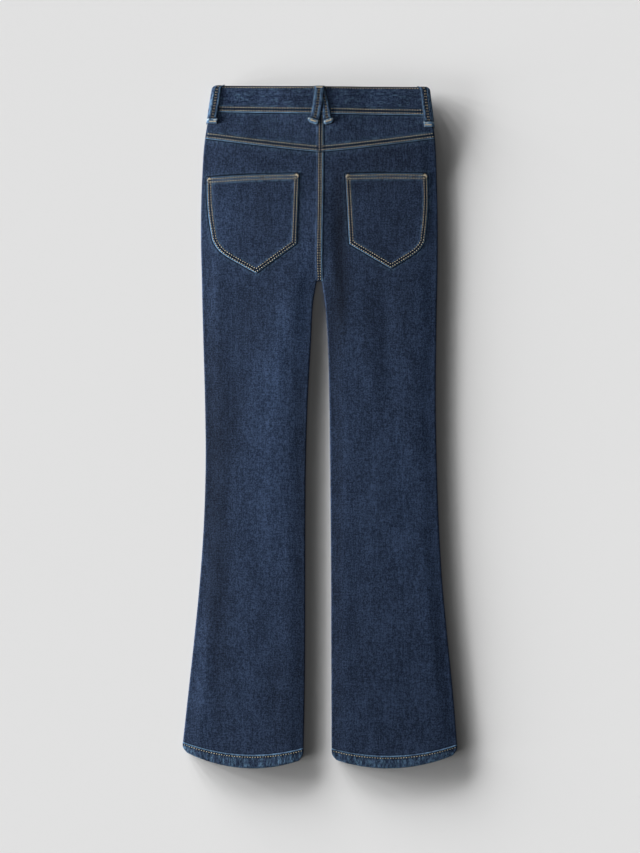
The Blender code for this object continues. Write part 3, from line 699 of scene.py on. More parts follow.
def denim(name, colours, turn=0.0):
    """Stretch denim: twill lines, long warp slubs, short weft slubs, mottling, pale worn edges, painted shade
    at seams.

    The warp runs along Y, turned by the given angle. Worn, the distance to painted shade, rubbed, sewn and
    fade are the mesh's own marks. Where worn is below zero the bare weft shows.
    """
    made, tree, shader, where = new_material(name)
    where = node(tree, "ShaderNodeMapping", {"Vector": where, "Rotation": (0.0, 0.0, turn)}).outputs[0]
    warp = noise_at(tree, where, (1000.0, 75.0, 60.0), 3.0, 0.6)
    broad_warp = noise_at(tree, where, (240.0, 14.0, 30.0), 2.0)
    weft = noise_at(tree, where, (85.0, 1050.0, 60.0), 2.0, 0.6)
    grain = noise_at(tree, where, (500.0, 470.0, 480.0), 2.0, 0.75)
    mottle = noise_at(tree, where, (34.0, 22.0, 20.0), 4.0, 0.6)
    flecks = noise_at(tree, where, (600.0, 180.0, 200.0), 3.0, 0.65)
    specks = noise_at(tree, where, (900.0, 520.0, 700.0), 1.0)
    twill = node(tree, "ShaderNodeMapping", {"Vector": where, "Rotation": (0.0, 0.0, math.radians(28.0))})
    inputs = {"Vector": twill.outputs[0], "Scale": 540.0, "Distortion": 0.6, "Detail": 1.0}
    lines = node(tree, "ShaderNodeTexWave", {**inputs, "Detail Scale": 2.0}).outputs["Fac"]

    tone = math_node(tree, "MULTIPLY", ranged(tree, grain, 0.33, 0.67), 0.42)
    for layer, low, high, share in (
        (warp, 0.32, 0.70, 0.24), (broad_warp, 0.34, 0.68, 0.08), (weft, 0.34, 0.70, 0.17),
        (mottle, 0.34, 0.66, 0.11), (lines, 0.0, 1.0, 0.10), (specks, 0.64, 0.80, 0.60),
    ):
        tone = math_node(tree, "MULTIPLY_ADD", ranged(tree, layer, low, high), share, tone)
    colour = mixed(tree, ranged(tree, tone, 0.27, 0.95), colours.denim_dark, colours.denim_light)

    worn_at, painted_shade_at, rubbed = mark_at(tree, "worn"), mark_at(tree, "deep"), mark_at(tree, "rubbed")
    patchy = ranged(tree, flecks, 0.40, 0.62)
    edge = ranged(tree, worn_at, 0.35, 1.75, 1.0, 0.0)
    edge = math_node(tree, "MULTIPLY", edge, math_node(tree, "MULTIPLY_ADD", patchy, 0.6, 0.4))
    rub = math_node(tree, "MULTIPLY", rubbed, math_node(tree, "MULTIPLY", patchy, 0.55))
    pale = math_node(tree, "MAXIMUM", edge, rub)
    colour = mixed(tree, pale, colour, colours.worn)
    colour = mixed(tree, ranged(tree, worn_at, -1.3, -0.2, 0.9, 0.0), colour, colours.bare)
    # Painted shade: near a line of painted shade, and along rows of stitches and the trough between twin
    # rows, the denim is darkened towards the seam shadow colour
    painted_shade_by_seam = ranged(tree, painted_shade_at, 0.5, 2.1, 0.9, 0.0)
    painted_shade_by_stitches = ranged(tree, mark_at(tree, "sewn"), 0.45, 1.25, 0.92, 0.0)
    colour = mixed(tree, math_node(tree, "MAXIMUM", painted_shade_by_seam, painted_shade_by_stitches), colour, colours.seam_shadow)
    # Tone scaled by the fade mark: washed-out and kept dye, and painted shade and light on folds and rolled
    # edges
    scaled = node(tree, "ShaderNodeVectorMath", {0: colour}, operation="SCALE")
    tree.links.new(math_node(tree, "ADD", mark_at(tree, "fade"), 1.0), scaled.inputs["Scale"])

    connect(tree, shader, {
        "Base Color": scaled.outputs[0], "Roughness": ranged(tree, warp, 0.3, 0.7, 0.82, 0.94),
        "Specular IOR Level": 0.10, "Sheen Weight": 0.03, "Sheen Roughness": 0.6,
    })
    weave = math_node(tree, "MULTIPLY_ADD", warp, 0.8, math_node(tree, "MULTIPLY", lines, 0.35))
    weave = math_node(tree, "MULTIPLY_ADD", flecks, math_node(tree, "MULTIPLY", rubbed, 0.8), weave)
    raise_by(tree, shader, weave, 0.35, 0.12 * MM)
    return made


def spun_thread(name, colour):
    """Cotton-wrapped thread: fine fibres along it, uneven dye and a dull sheen."""
    made, tree, shader, where = new_material(name)
    fibres = noise_at(tree, where, (2600.0, 2600.0, 2600.0), 2.0)
    dye = noise_at(tree, where, (120.0, 120.0, 120.0), 2.0)
    tone = math_node(tree, "MULTIPLY_ADD", fibres, 0.5, math_node(tree, "MULTIPLY", dye, 0.5))
    dyed = mixed(tree, ranged(tree, tone, 0.3, 0.7), toned(colour, 0.5), toned(colour, 1.35))
    inputs = {"Base Color": dyed, "Roughness": 0.7, "Specular IOR Level": 0.3, "Sheen Weight": 0.1}
    connect(tree, shader, inputs)
    raise_by(tree, shader, fibres, 0.5, 0.08 * MM)
    return made


def worn_metal(name, colour):
    """Plated metal, a little tarnished: darker and duller in random patches."""
    made, tree, shader, where = new_material(name)
    tarnish = noise_at(tree, where, (420.0, 420.0, 420.0), 4.0, 0.6)
    scratches = noise_at(tree, where, (2400.0, 260.0, 900.0), 2.0)
    plated = mixed(tree, ranged(tree, tarnish, 0.35, 0.7), toned(colour, 0.55), colour)
    dulled = ranged(tree, tarnish, 0.3, 0.7, 0.5, 0.28)
    connect(tree, shader, {"Base Color": plated, "Roughness": dulled, "Metallic": 1.0})
    raise_by(tree, shader, scratches, 0.2, 0.05 * MM)
    return made


def woven_tape(name, colour):
    """Zip tape: fine diagonal ribs with a little fuzz."""
    made, tree, shader, where = new_material(name)
    slope = node(tree, "ShaderNodeMapping", {"Vector": where, "Rotation": (0.0, 0.0, math.radians(45.0))})
    ribs = node(tree, "ShaderNodeTexWave", {"Vector": slope.outputs[0], "Scale": 420.0}).outputs["Fac"]
    fuzz = noise_at(tree, where, (800.0, 800.0, 800.0), 2.0)
    tone = math_node(tree, "MULTIPLY_ADD", ribs, 0.6, math_node(tree, "MULTIPLY", fuzz, 0.4))
    woven = mixed(tree, tone, colour, toned(colour, 1.9))
    connect(tree, shader, {"Base Color": woven, "Roughness": 0.85})
    raise_by(tree, shader, ribs, 0.4, 0.1 * MM)
    return made


def painted_floor(name, colour):
    """Plain matt studio floor, with the faintest unevenness."""
    made, tree, shader, where = new_material(name)
    tone = noise_at(tree, where, (3.0, 3.0, 3.0), 2.0)
    painted = mixed(tree, tone, colour, toned(colour, 1.01))
    connect(tree, shader, {"Base Color": painted, "Roughness": 1.0, "Specular IOR Level": 0.0})
    return made


def finish_of(kind, build_it, *settings):
    """The material of that name, made on first use."""
    return bpy.data.materials.get(kind) or build_it(kind, *settings)


def denim_for(turn_name="warp_up"):
    turns = {"warp_up": 0.0, "warp_across": math.radians(90.0)}
    return finish_of("denim_" + turn_name, denim, bpy.context.scene.jeans_colours, turns[turn_name])


def thread_for(kind="thread"):
    return finish_of(kind, spun_thread, tuple(getattr(bpy.context.scene.jeans_colours, kind)))


# ---------------------------------------------------------------- stitches

def evenly(path, pitch):
    """Middle points and directions of equal steps of about the pitch, along a path (n by 2)."""
    steps = np.hypot(*np.diff(path, axis=0).T)
    run = np.concatenate([[0.0], np.cumsum(steps)])
    count = max(1, int(run[-1] / pitch))
    middle = (np.arange(count) + 0.5) * run[-1] / count

    def at(place):
        return np.stack([np.interp(place, run, path[:, 0]), np.interp(place, run, path[:, 1])], axis=1)

    ahead, behind = at(middle + 0.3 * pitch), at(middle - 0.3 * pitch)
    direction = ahead - behind
    return at(middle), direction / np.linalg.norm(direction, axis=1)[:, None]


def on_face(height, middle, direction):
    """Points and frames on a face: along it, across it and out of it, by differences of its height."""
    near = 0.4 * MM
    z = height(middle[:, 0], middle[:, 1])
    ahead = height(middle[:, 0] + near * direction[:, 0], middle[:, 1] + near * direction[:, 1])
    left = np.stack([-direction[:, 1], direction[:, 0]], axis=1)
    aside = height(middle[:, 0] + near * left[:, 0], middle[:, 1] + near * left[:, 1])
    tangent = np.concatenate([direction, ((ahead - z) / near)[:, None]], axis=1)
    across = np.concatenate([left, ((aside - z) / near)[:, None]], axis=1)
    tangent /= np.linalg.norm(tangent, axis=1)[:, None]
    out = np.cross(tangent, across)
    out /= np.linalg.norm(out, axis=1)[:, None]
    return np.concatenate([middle, z[:, None]], axis=1), tangent, np.cross(out, tangent), out


def stitch_mesh(name, centre, tangent, across, out, length, radius):
    """Capsules that dip at both ends: rings along the tangent, each a share of the radius wide."""
    radius = np.broadcast_to(radius, len(centre))[:, None]
    angle = np.arange(STITCH_SIDES) * 2.0 * math.pi / STITCH_SIDES
    points = []
    for place, share, lift in STITCH_RINGS:
        ring_at = centre + tangent * (place * length / 2.0)[:, None] + out * (lift * radius)
        around = across[:, None] * np.cos(angle)[:, None] + out[:, None] * 0.8 * np.sin(angle)[:, None]
        points.append(ring_at[:, None] + around * (share * radius[:, None]))
    for place in (-STITCH_TIP, STITCH_TIP):
        tip = centre + tangent * (place * length / 2.0)[:, None] - out * (0.7 * radius)
        points.append(tip[:, None])
    points = np.concatenate(points, axis=1)
    each, rings = points.shape[1], len(STITCH_RINGS)
    spot = np.arange(STITCH_SIDES)
    after = (spot + 1) % STITCH_SIDES
    rows = np.arange(rings - 1)[:, None] * STITCH_SIDES
    next_rows = rows + STITCH_SIDES
    sides = np.stack([rows + spot, rows + after, next_rows + after, next_rows + spot], axis=2)
    first = np.stack([after, spot, np.full_like(spot, each - 2)], axis=1)
    last_row = (rings - 1) * STITCH_SIDES
    last = np.stack([last_row + spot, last_row + after, np.full_like(spot, each - 1)], axis=1)
    shift = np.arange(len(centre))[:, None, None] * each
    squares = (sides.reshape(1, -1, 4) + shift).reshape(-1, 4)
    tips = np.concatenate([(first[None] + shift).reshape(-1, 3), (last[None] + shift).reshape(-1, 3)])
    mesh = bpy.data.meshes.new(name)
    mesh.from_pydata(points.reshape(-1, 3).tolist(), [], squares.tolist() + tips.tolist())
    mesh.polygons.foreach_set("use_smooth", np.ones(len(mesh.polygons), bool))
    mesh.update()
    return mesh


def laid_on(height, middle, direction, out_sign, lift):
    """Centres and frames of stitches laid on a face, lifted off it on its outer side."""
    centre, tangent, across, out = on_face(height, middle, direction)
    return centre + out * (out_sign * lift), tangent, across * out_sign, out * out_sign


def joined(parts):
    return [np.concatenate(arrays) for arrays in zip(*parts)]


def topstitch(name, rows, sizes):
    """One joined piece of topstitching from rows of (path, height function, which way is out)."""
    parts = []
    for path, height, out_sign in rows:
        middle, direction = evenly(path, sizes.stitch_pitch)
        wander = noise(middle[:, 0], middle[:, 1], 5 * MM, 5 * MM, 61) * 0.12 * MM
        middle = middle + wander[:, None] * np.stack([-direction[:, 1], direction[:, 0]], axis=1)
        parts.append(laid_on(height, middle, direction, out_sign, 0.25 * sizes.thread_radius))
    centre, tangent, across, out = joined(parts)
    uneven = 1.0 + 0.12 * lattice(np.arange(len(centre)), 3.0, 5)
    length = sizes.stitch_pitch * sizes.stitch_share * uneven
    radius = sizes.thread_radius * (1.0 - SUNK_IN_WARP * tangent[:, 1] ** 2)
    mesh = stitch_mesh(name, centre, tangent, across, out, length, radius)
    return piece(name, mesh, thread_for())


def tacked(name, tacks, sizes):
    """Bar tacks, each a dense block of strands, from rows as bar_tacks lists them."""
    parts, lengths = [], []
    for x, y, turn, long, wide, height, out_sign in tacks:
        count = max(5, int(long / sizes.tack_pitch))
        angle = math.radians(turn)
        run = np.linspace(-0.5, 0.5, count) * long
        middle = np.stack([x + run * math.cos(angle), y + run * math.sin(angle)], axis=1)
        lean = angle + math.pi / 2.0 + 0.12 * np.where(np.arange(count) % 2, 1.0, -1.0)
        direction = np.stack([np.cos(lean), np.sin(lean)], axis=1)
        parts.append(laid_on(height, middle, direction, out_sign, 0.6 * sizes.thread_radius))
        lengths.append(wide * (1.0 + 0.1 * lattice(np.arange(count), x / MM, 9)))
    mesh = stitch_mesh(name, *joined(parts), np.concatenate(lengths), sizes.thread_radius)
    return piece(name, mesh, thread_for("thread_tack"))


# ---------------------------------------------------------------- back panels

def strip_width(side, y):
    """Width of the flat strip beside the centre seam: the rolled edge's at the crotch, wider above it."""
    at_crotch = inner_edge(side, CROTCH) + ROLL - centre_seam(side, CROTCH)
    return at_crotch + (SEAT_STRIP - at_crotch) * smooth((y - CROTCH) / (60.0 * MM))


STRIP_STEPS = 15
OUTER_ANGLES = np.radians(np.linspace(90.0, -90.0, ROLL_STEPS))
INNER_ANGLES = np.radians(np.linspace(-90.0, 90.0, STRIP_STEPS - 2))


def top_shares(step):
    """Where the columns of a panel's top lie, from its inner strip to its outer roll."""
    width = 150.0 * MM
    fine = step * 0.45
    return spaced((0.0, fine), (4 * MM, step), (width - 8 * MM, fine), (width, fine))[1:-1] / width


def back_columns(side, y, step):
    """Distance from the centre line of each column of a back panel at heights y (rows by columns)."""
    shares = top_shares(step)
    above = y >= CROTCH
    strip_y, top_y, outer_y = y[:, :STRIP_STEPS], y[:, STRIP_STEPS:-ROLL_STEPS - 1], y[:, -ROLL_STEPS - 1:]
    flat = centre_seam(side, strip_y) + SEAM / 2 + strip_width(side, strip_y) * np.linspace(0, 1, STRIP_STEPS)
    inner = inner_edge(side, strip_y)
    turned = np.concatenate([[TAIL + ROLL, ROLL * 1.6], ROLL - ROLL * np.cos(INNER_ANGLES)])
    strip = np.where(above[:, :STRIP_STEPS], flat, inner + turned)
    inner_top = inner_edge(side, top_y) + ROLL
    start = np.where(above[:, STRIP_STEPS:-ROLL_STEPS - 1],
                     centre_seam(side, top_y) + SEAM / 2 + strip_width(side, top_y), inner_top)
    top = start + shares * (outer_edge(side, top_y) - ROLL - start)
    outward = np.append(ROLL - ROLL * np.cos(OUTER_ANGLES), ROLL + TAIL)
    outer = outer_edge(side, outer_y) - outward
    return np.concatenate([strip, top, outer], axis=1)


def back_heights(side, w, y, face):
    """Height of each column: the face on top, and half an ellipse round each rolled edge."""
    z = face(side, w, y)
    base = underside(y) + 0.0 * w
    half = (EDGE_HEIGHT - FLOOR_CLEAR) / 2.0
    outer = slice(-ROLL_STEPS - 1, None)
    z[:, outer] = base[:, outer] + np.append(half + half * np.sin(OUTER_ANGLES), 0.0)
    below = y[:, :STRIP_STEPS] < CROTCH
    turned = base[:, :STRIP_STEPS] + np.concatenate([[0.0, 0.0], half + half * np.sin(INNER_ANGLES)])
    z[:, :STRIP_STEPS] = np.where(below, turned, z[:, :STRIP_STEPS])
    return z


def turned_end(side, w, y, z):
    """The seat strip's lower end, rolled down at the crotch: a quarter ellipse along the leg."""
    beyond = np.clip((y - CROTCH) / ROLL, 0.0, 1.0)
    profile = np.sqrt(1.0 - (1.0 - beyond) ** 2)
    edge = inner_edge(side, CROTCH) + ROLL
    over_gap = smooth((edge - w) / ROLL) * (y >= CROTCH)
    low = underside(y) + 1.3 * MM
    return z - (z - low) * (1.0 - profile) * over_gap


def between_rolls(side, w, y):
    return np.clip(w, inner_edge(side, y) + ROLL, outer_edge(side, y) - ROLL)


def pocket_row(side):
    return LEFT_POCKET if side < 0 else RIGHT_POCKET


def signed_pocket(side, x, y):
    """Distance outside a pocket's outline, in metres, negative within it."""
    outline = pocket_outline(side, 40)
    away = nearest(np.vstack([outline, outline[:1]]), x, y)
    return np.where(within(outline, x, y), -away, away)


def pocket_middle(side):
    """Middle of a pocket's outline."""
    return pocket_outline(side, 40).mean(axis=0)


def build_back_leg(side, name, node_name, sizes):
    """Back leg: rows from the hem to the yoke seam, columns from the inner edge to the outer seam below."""
    lowest = hem_shape(side)["lowest_from_centre"] * MM
    low, high = float(hem_top(side, lowest)) + HEM_GAP, YOKE_POINT - SEAM / 2
    step = sizes.cloth_step
    heights = np.concatenate([
        spaced((low, 0.8 * MM), (low + 6 * MM, step), (CROTCH - 4 * MM, 0.9 * MM), (CROTCH - 0.3 * MM, 1.0)),
        spaced((CROTCH, 0.25 * MM), (CROTCH + ROLL, 0.8 * MM), (CROTCH + 8 * MM, step),
               (high - 7 * MM, 0.8 * MM), (high, 1.0)),
    ])
    columns = STRIP_STEPS + len(top_shares(step)) + ROLL_STEPS + 1
    flat_y = np.repeat(heights[:, None], columns, axis=1)
    w = back_columns(side, flat_y, step)
    foot = hem_top(side, between_rolls(side, w, flat_y)) + HEM_GAP
    head = yoke_seam(w) - SEAM / 2
    y = flat_y + smooth((low + END_BEND - flat_y) / END_BEND) * (foot - low)
    y = y + smooth((flat_y - high + END_BEND) / END_BEND) * (head - high)
    w = back_columns(side, y, step)
    z = turned_end(side, w, y, back_heights(side, w, y, leg_face))
    x = side * w
    from_seam = w - centre_seam(side, y)
    top = z > underside(y) + 2.0 * MM
    below_yoke = np.where(top, yoke_seam(x) - y, 1.0)
    # Painted shade: lines round each pocket, wider on its left where the light comes from, below the yoke
    # seam, above the hem and beside the centre seam
    beside = signed_pocket(side, x, y)
    factor, closer = SHADE_WIDENING
    shaded = np.where(x < pocket_middle(side)[0], factor * beside - closer, beside)
    deep = np.minimum(shaded, below_yoke)
    deep = np.minimum(deep, np.maximum(y - hem_top(side, w), 0.0) + 0.6 * MM)
    worn = np.full_like(w, 1.0)
    above = y > CROTCH
    rubbed = np.exp(-((below_yoke / (5 * MM)) ** 2)) * 0.45
    if side > 0:
        shallow = SHALLOW_LOSS * smooth((SEAM_SHALLOW - y) / SHALLOW_REACH)
        deep = np.where(above, np.minimum(deep, from_seam + shallow), deep)
    else:
        worn = np.where(above, 0.45 * from_seam, worn)
        deep = np.where(above, np.minimum(deep, np.abs(from_seam - CENTRE_FELL) + 1.0 * MM), deep)
    on_fell = np.where(above, 0.2 * band_of(from_seam, CENTRE_FELL, 3 * MM), 0.0)
    rubbed = rubbed + on_fell * (1 if side < 0 else BESIDE_FELL)
    rubbed = rubbed + 0.5 * np.exp(-((np.abs(beside) / (4 * MM)) ** 2)) + 0.08
    sewn = np.where((side < 0) & above, near_rows(from_seam, CENTRE_ROWS), 1.0)
    left_out = np.zeros((len(heights) - 1, columns - 1), bool)
    left_out[int(np.searchsorted(heights, CROTCH)) - 1, : STRIP_STEPS - 1] = True
    points = np.stack([x, y, z], axis=2)
    return cloth(name, facing(points, side), sizes.denim_ply, denim_for(), [node_name],
                 marks_of(side, worn, deep, rubbed, sewn),
                 facing(left_out, side))


def build_yoke(side, name, node_name, sizes):
    """Back yoke: rows at even distances above its felled edge, then shared out up to the waistband."""
    step = sizes.cloth_step
    near = spaced((0.0, 0.7 * MM), (12 * MM, 1.0))
    shares = spaced((0.0, 0.09), (0.86, 0.03), (1.0, 1.0))[1:]
    columns = STRIP_STEPS + len(top_shares(step)) + ROLL_STEPS + 1
    w = back_columns(side, np.full((len(near) + len(shares), columns), 425.0 * MM), step)
    for _ in range(2):
        foot, head = yoke_seam(w) + SEAM / 2, band_bottom(side * w) - SEAM / 2
        y = np.concatenate([
            foot[: len(near)] + near[:, None],
            foot[len(near):] + near[-1] + shares[:, None] * (head - foot - near[-1])[len(near):],
        ])
        w = back_columns(side, y, step)
    z = back_heights(side, w, y, yoke_face)
    x = side * w
    from_seam = w - centre_seam(side, y)
    worn = y - yoke_seam(x)
    # Painted shade: lines under the waistband, right of the centre seam on the right yoke, and beside the
    # loops
    deep = band_bottom(x) - y
    if side < 0:
        worn = np.minimum(worn, 0.45 * from_seam)
    else:
        deep = np.minimum(deep, from_seam)
    rubbed = 0.75 * band_of(y - yoke_seam(x), YOKE_FELL, 4 * MM) + 0.08
    beside_seam = band_of(from_seam, CENTRE_FELL, 3 * MM)
    rubbed = np.maximum(rubbed, 0.3 * beside_seam * (1 if side < 0 else BESIDE_FELL))
    rubbed = np.maximum(rubbed, 0.4 * band_of(deep, 2 * MM, 4 * MM))
    deep = np.minimum(deep, beside_loops(x, y))
    rubbed = rubbed + 0.3 * np.clip(noise(x, y, 8 * MM, 3 * MM, 91), 0.0, 1.0)
    sewn = near_rows(y - yoke_seam(x), YOKE_ROWS)
    if side < 0:
        sewn = np.minimum(sewn, near_rows(from_seam, YOKE_CENTRE_ROWS))
    points = np.stack([x, y, z], axis=2)
    return cloth(name, facing(points, side), sizes.denim_ply, denim_for(), [node_name],
                 marks_of(side, worn, deep, rubbed, sewn))


def build_front_leg(side, name, node_name, sizes):
    """Front leg: flat under the back, its face just off the floor, from the hem to the waistband."""
    lowest = hem_shape(side)["lowest_from_centre"] * MM
    low, high = float(hem_top(side, lowest)) + SEAM / 2, WAIST_SEAM - SEAM / 2
    step = 2.2 * sizes.cloth_step
    heights = np.concatenate([
        spaced((low, 1.5 * MM), (low + 6 * MM, step), (CROTCH - 0.4 * MM, 1.0)),
        spaced((CROTCH + 0.4 * MM, step), (high - 8 * MM, 1.5 * MM), (high, 1.0)),
    ])
    shares = spaced((0.0, 0.01), (0.06, 0.03), (0.94, 0.01), (1.0, 1.0))
    y0 = np.repeat(heights[:, None], len(shares), axis=1)
    under = inner_edge(side, y0) + ROLL + TAIL + SEAM
    first = np.where(y0 > CROTCH, SEAM / 2, under)
    w = first + shares * (outer_edge(side, y0) - ROLL - TAIL - SEAM - first)
    waist = band_bottom(side * w) - front_dip(w) - SEAM / 2
    y = y0 + smooth((low + END_BEND - y0) / END_BEND) * (hem_top(side, w) + SEAM / 2 - low)
    y = y + smooth((y0 - high + END_BEND) / END_BEND) * (waist - high)
    w = w + shares * (outer_edge(side, y) - outer_edge(side, y0))
    x = side * w
    inside = smooth(shares / 0.1) * smooth((1 - shares) / 0.1)
    z = underside(y) + 0.12 * MM * inside * (1 + noise(x, y, 30 * MM, 50 * MM, 71))
    from_side = np.minimum(w - first, (outer_edge(side, y) - ROLL - TAIL) - w)
    # Painted shade: darker towards the waistband's seam
    marks = {"worn": from_side / MM + 0.4, "deep": (waist - y) / MM, "rubbed": 0.1 + 0.0 * w}
    marks = {mark: facing(value, -side) for mark, value in marks.items()}
    points = np.stack([x, y, z], axis=2)
    return cloth(name, facing(points, -side), 0.8 * sizes.denim_ply, denim_for(), [node_name],
                 marks)


# ---------------------------------------------------------------- pockets, hems, waistband, loops

def pocket_edges(side, across, down):
    """Outline of a pocket as four edges: mouth, foot with its point, inner side and outer side."""
    p = {column: value * MM for column, value in named(pocket_row(side), POCKET_COLUMNS).items()}
    away = math.copysign(1.0, p["mouth_out"])
    before, after = np.clip(2.0 * across, 0.0, 1.0), np.clip(2.0 * across - 1.0, 0.0, 1.0)
    mouth = np.stack([
        p["mouth_in"] + across * (p["mouth_out"] - p["mouth_in"]),
        p["mouth_in_y"] + across * (p["mouth_out_y"] - p["mouth_in_y"])
        + MOUTH_BOW * np.sin(math.pi * across),
    ], axis=1)
    foot = np.stack([
        p["corner_in"] + before * (p["tip"] - p["corner_in"]) + after * (p["corner_out"] - p["tip"]),
        p["corner_in_y"] + before * (p["tip_y"] - p["corner_in_y"]) + after * (p["corner_out_y"] - p["tip_y"])
        - p["corner_bow"] * after * (1.0 - after ** 8),
    ], axis=1)
    inner = np.stack([
        p["mouth_in"] + down * (p["corner_in"] - p["mouth_in"]),
        p["mouth_in_y"] + down * (p["corner_in_y"] - p["mouth_in_y"]),
    ], axis=1)
    outer = np.stack([
        p["mouth_out"] + down * (p["corner_out"] - p["mouth_out"])
        + away * p["side_bow"] * np.sin(math.pi * down),
        p["mouth_out_y"] + down * (p["corner_out_y"] - p["mouth_out_y"]),
    ], axis=1)
    return mouth, foot, inner, outer


def pocket_outline(side, count):
    """Closed outline: down the inner side, along the foot, up the outer side and back along the mouth."""
    share = np.linspace(0.0, 1.0, count)
    mouth, foot, inner, outer = pocket_edges(side, share, share)
    return np.concatenate([inner[:-1], foot[:-1], outer[::-1][:-1], mouth[::-1][:-1]])


def pocket_sides(side, count=60):
    """The sewn sides of a pocket, from the inner end of the mouth round to its outer end."""
    share = np.linspace(0.0, 1.0, count)
    _, foot, inner, outer = pocket_edges(side, share, share)
    return np.concatenate([inner[:-1], foot[:-1], outer[::-1]])


def moved_in(path, distance, sign):
    """A path moved sideways, keeping only what stays that far from the first one."""
    middle = (path[1:] + path[:-1]) / 2
    step = np.diff(path, axis=0)
    normal = np.stack([-step[:, 1], step[:, 0]], axis=1) / np.hypot(*step.T)[:, None]
    moved = middle + sign * distance * normal
    return moved[nearest(path, moved[:, 0], moved[:, 1]) > 0.985 * distance]


def pocket_face(side):
    """Height function of a pocket's face."""
    sides = pocket_sides(side)
    mouth = pocket_edges(side, np.linspace(0, 1, 30), np.linspace(0, 1, 30))[0]

    def height(x, y):
        from_edge = nearest(sides, x, y)
        below_mouth = nearest(mouth, x, y)
        return pocket_height(side, x, y, np.minimum(from_edge, below_mouth), below_mouth)

    return height


def build_pocket(side, name, node_name, sizes):
    """Patch pocket: a grid blended from its four edges (Coons patch), fine along them."""
    half = spaced((0.0, 0.7 * MM), (9 * MM, 2.0 * MM), (62 * MM, 1.0)) / (62 * MM) / 2
    across = np.concatenate([half, (1.0 - half[::-1])[1:]])
    down = spaced((0.0, 0.7 * MM), (12 * MM, 2.0 * MM), (106 * MM, 0.7 * MM), (115 * MM, 1.0)) / (115 * MM)
    mouth, foot, inner, outer = pocket_edges(side, across, down)
    u, v = across[None, :, None], down[:, None, None]
    between = (1 - v) * mouth[None] + v * foot[None] + (1 - u) * inner[:, None] + u * outer[:, None]
    corners = (1 - u) * (1 - v) * mouth[0] + u * (1 - v) * mouth[-1]
    corners = corners + (1 - u) * v * foot[0] + u * v * foot[-1]
    flat = between - corners
    x, y = flat[..., 0], flat[..., 1]
    z = pocket_face(side)(x, y)
    from_edge = nearest(pocket_sides(side), x, y)
    below_mouth = nearest(mouth, x, y)
    middle_x, middle_y = pocket_middle(side)
    # Painted shade: the pale worn edge is narrowed on the side towards the light, and a line of painted shade
    # runs under the mouth's hem
    over, up = LIT_BLEND
    towards_light = smooth((middle_x - x) / over) * smooth((y - middle_y + up) / up)
    worn = np.minimum(from_edge + LIT_EDGE_DULLING * towards_light, below_mouth)
    deep = np.abs(below_mouth - POCKET_HEM - 0.6 * MM) + 0.9 * MM
    rubbed = 0.6 * band_of(from_edge, 7 * MM, 3 * MM)
    rubbed = np.maximum(rubbed, 0.85 * band_of(below_mouth, POCKET_HEM, 1.5 * MM)) + 0.08
    beside_mouth = np.min([np.abs(below_mouth - row * MM) for row in MOUTH_ROWS], axis=0)
    sewn = np.minimum(near_rows(from_edge, POCKET_ROWS), beside_mouth)
    points = np.stack([x, y, z], axis=2)[::-1]
    marks = marks_of(side, worn[::-1], deep[::-1], rubbed[::-1], sewn[::-1])
    return cloth(name, facing(points, side), 0.75 * sizes.denim_ply, denim_for(), [node_name],
                 marks)


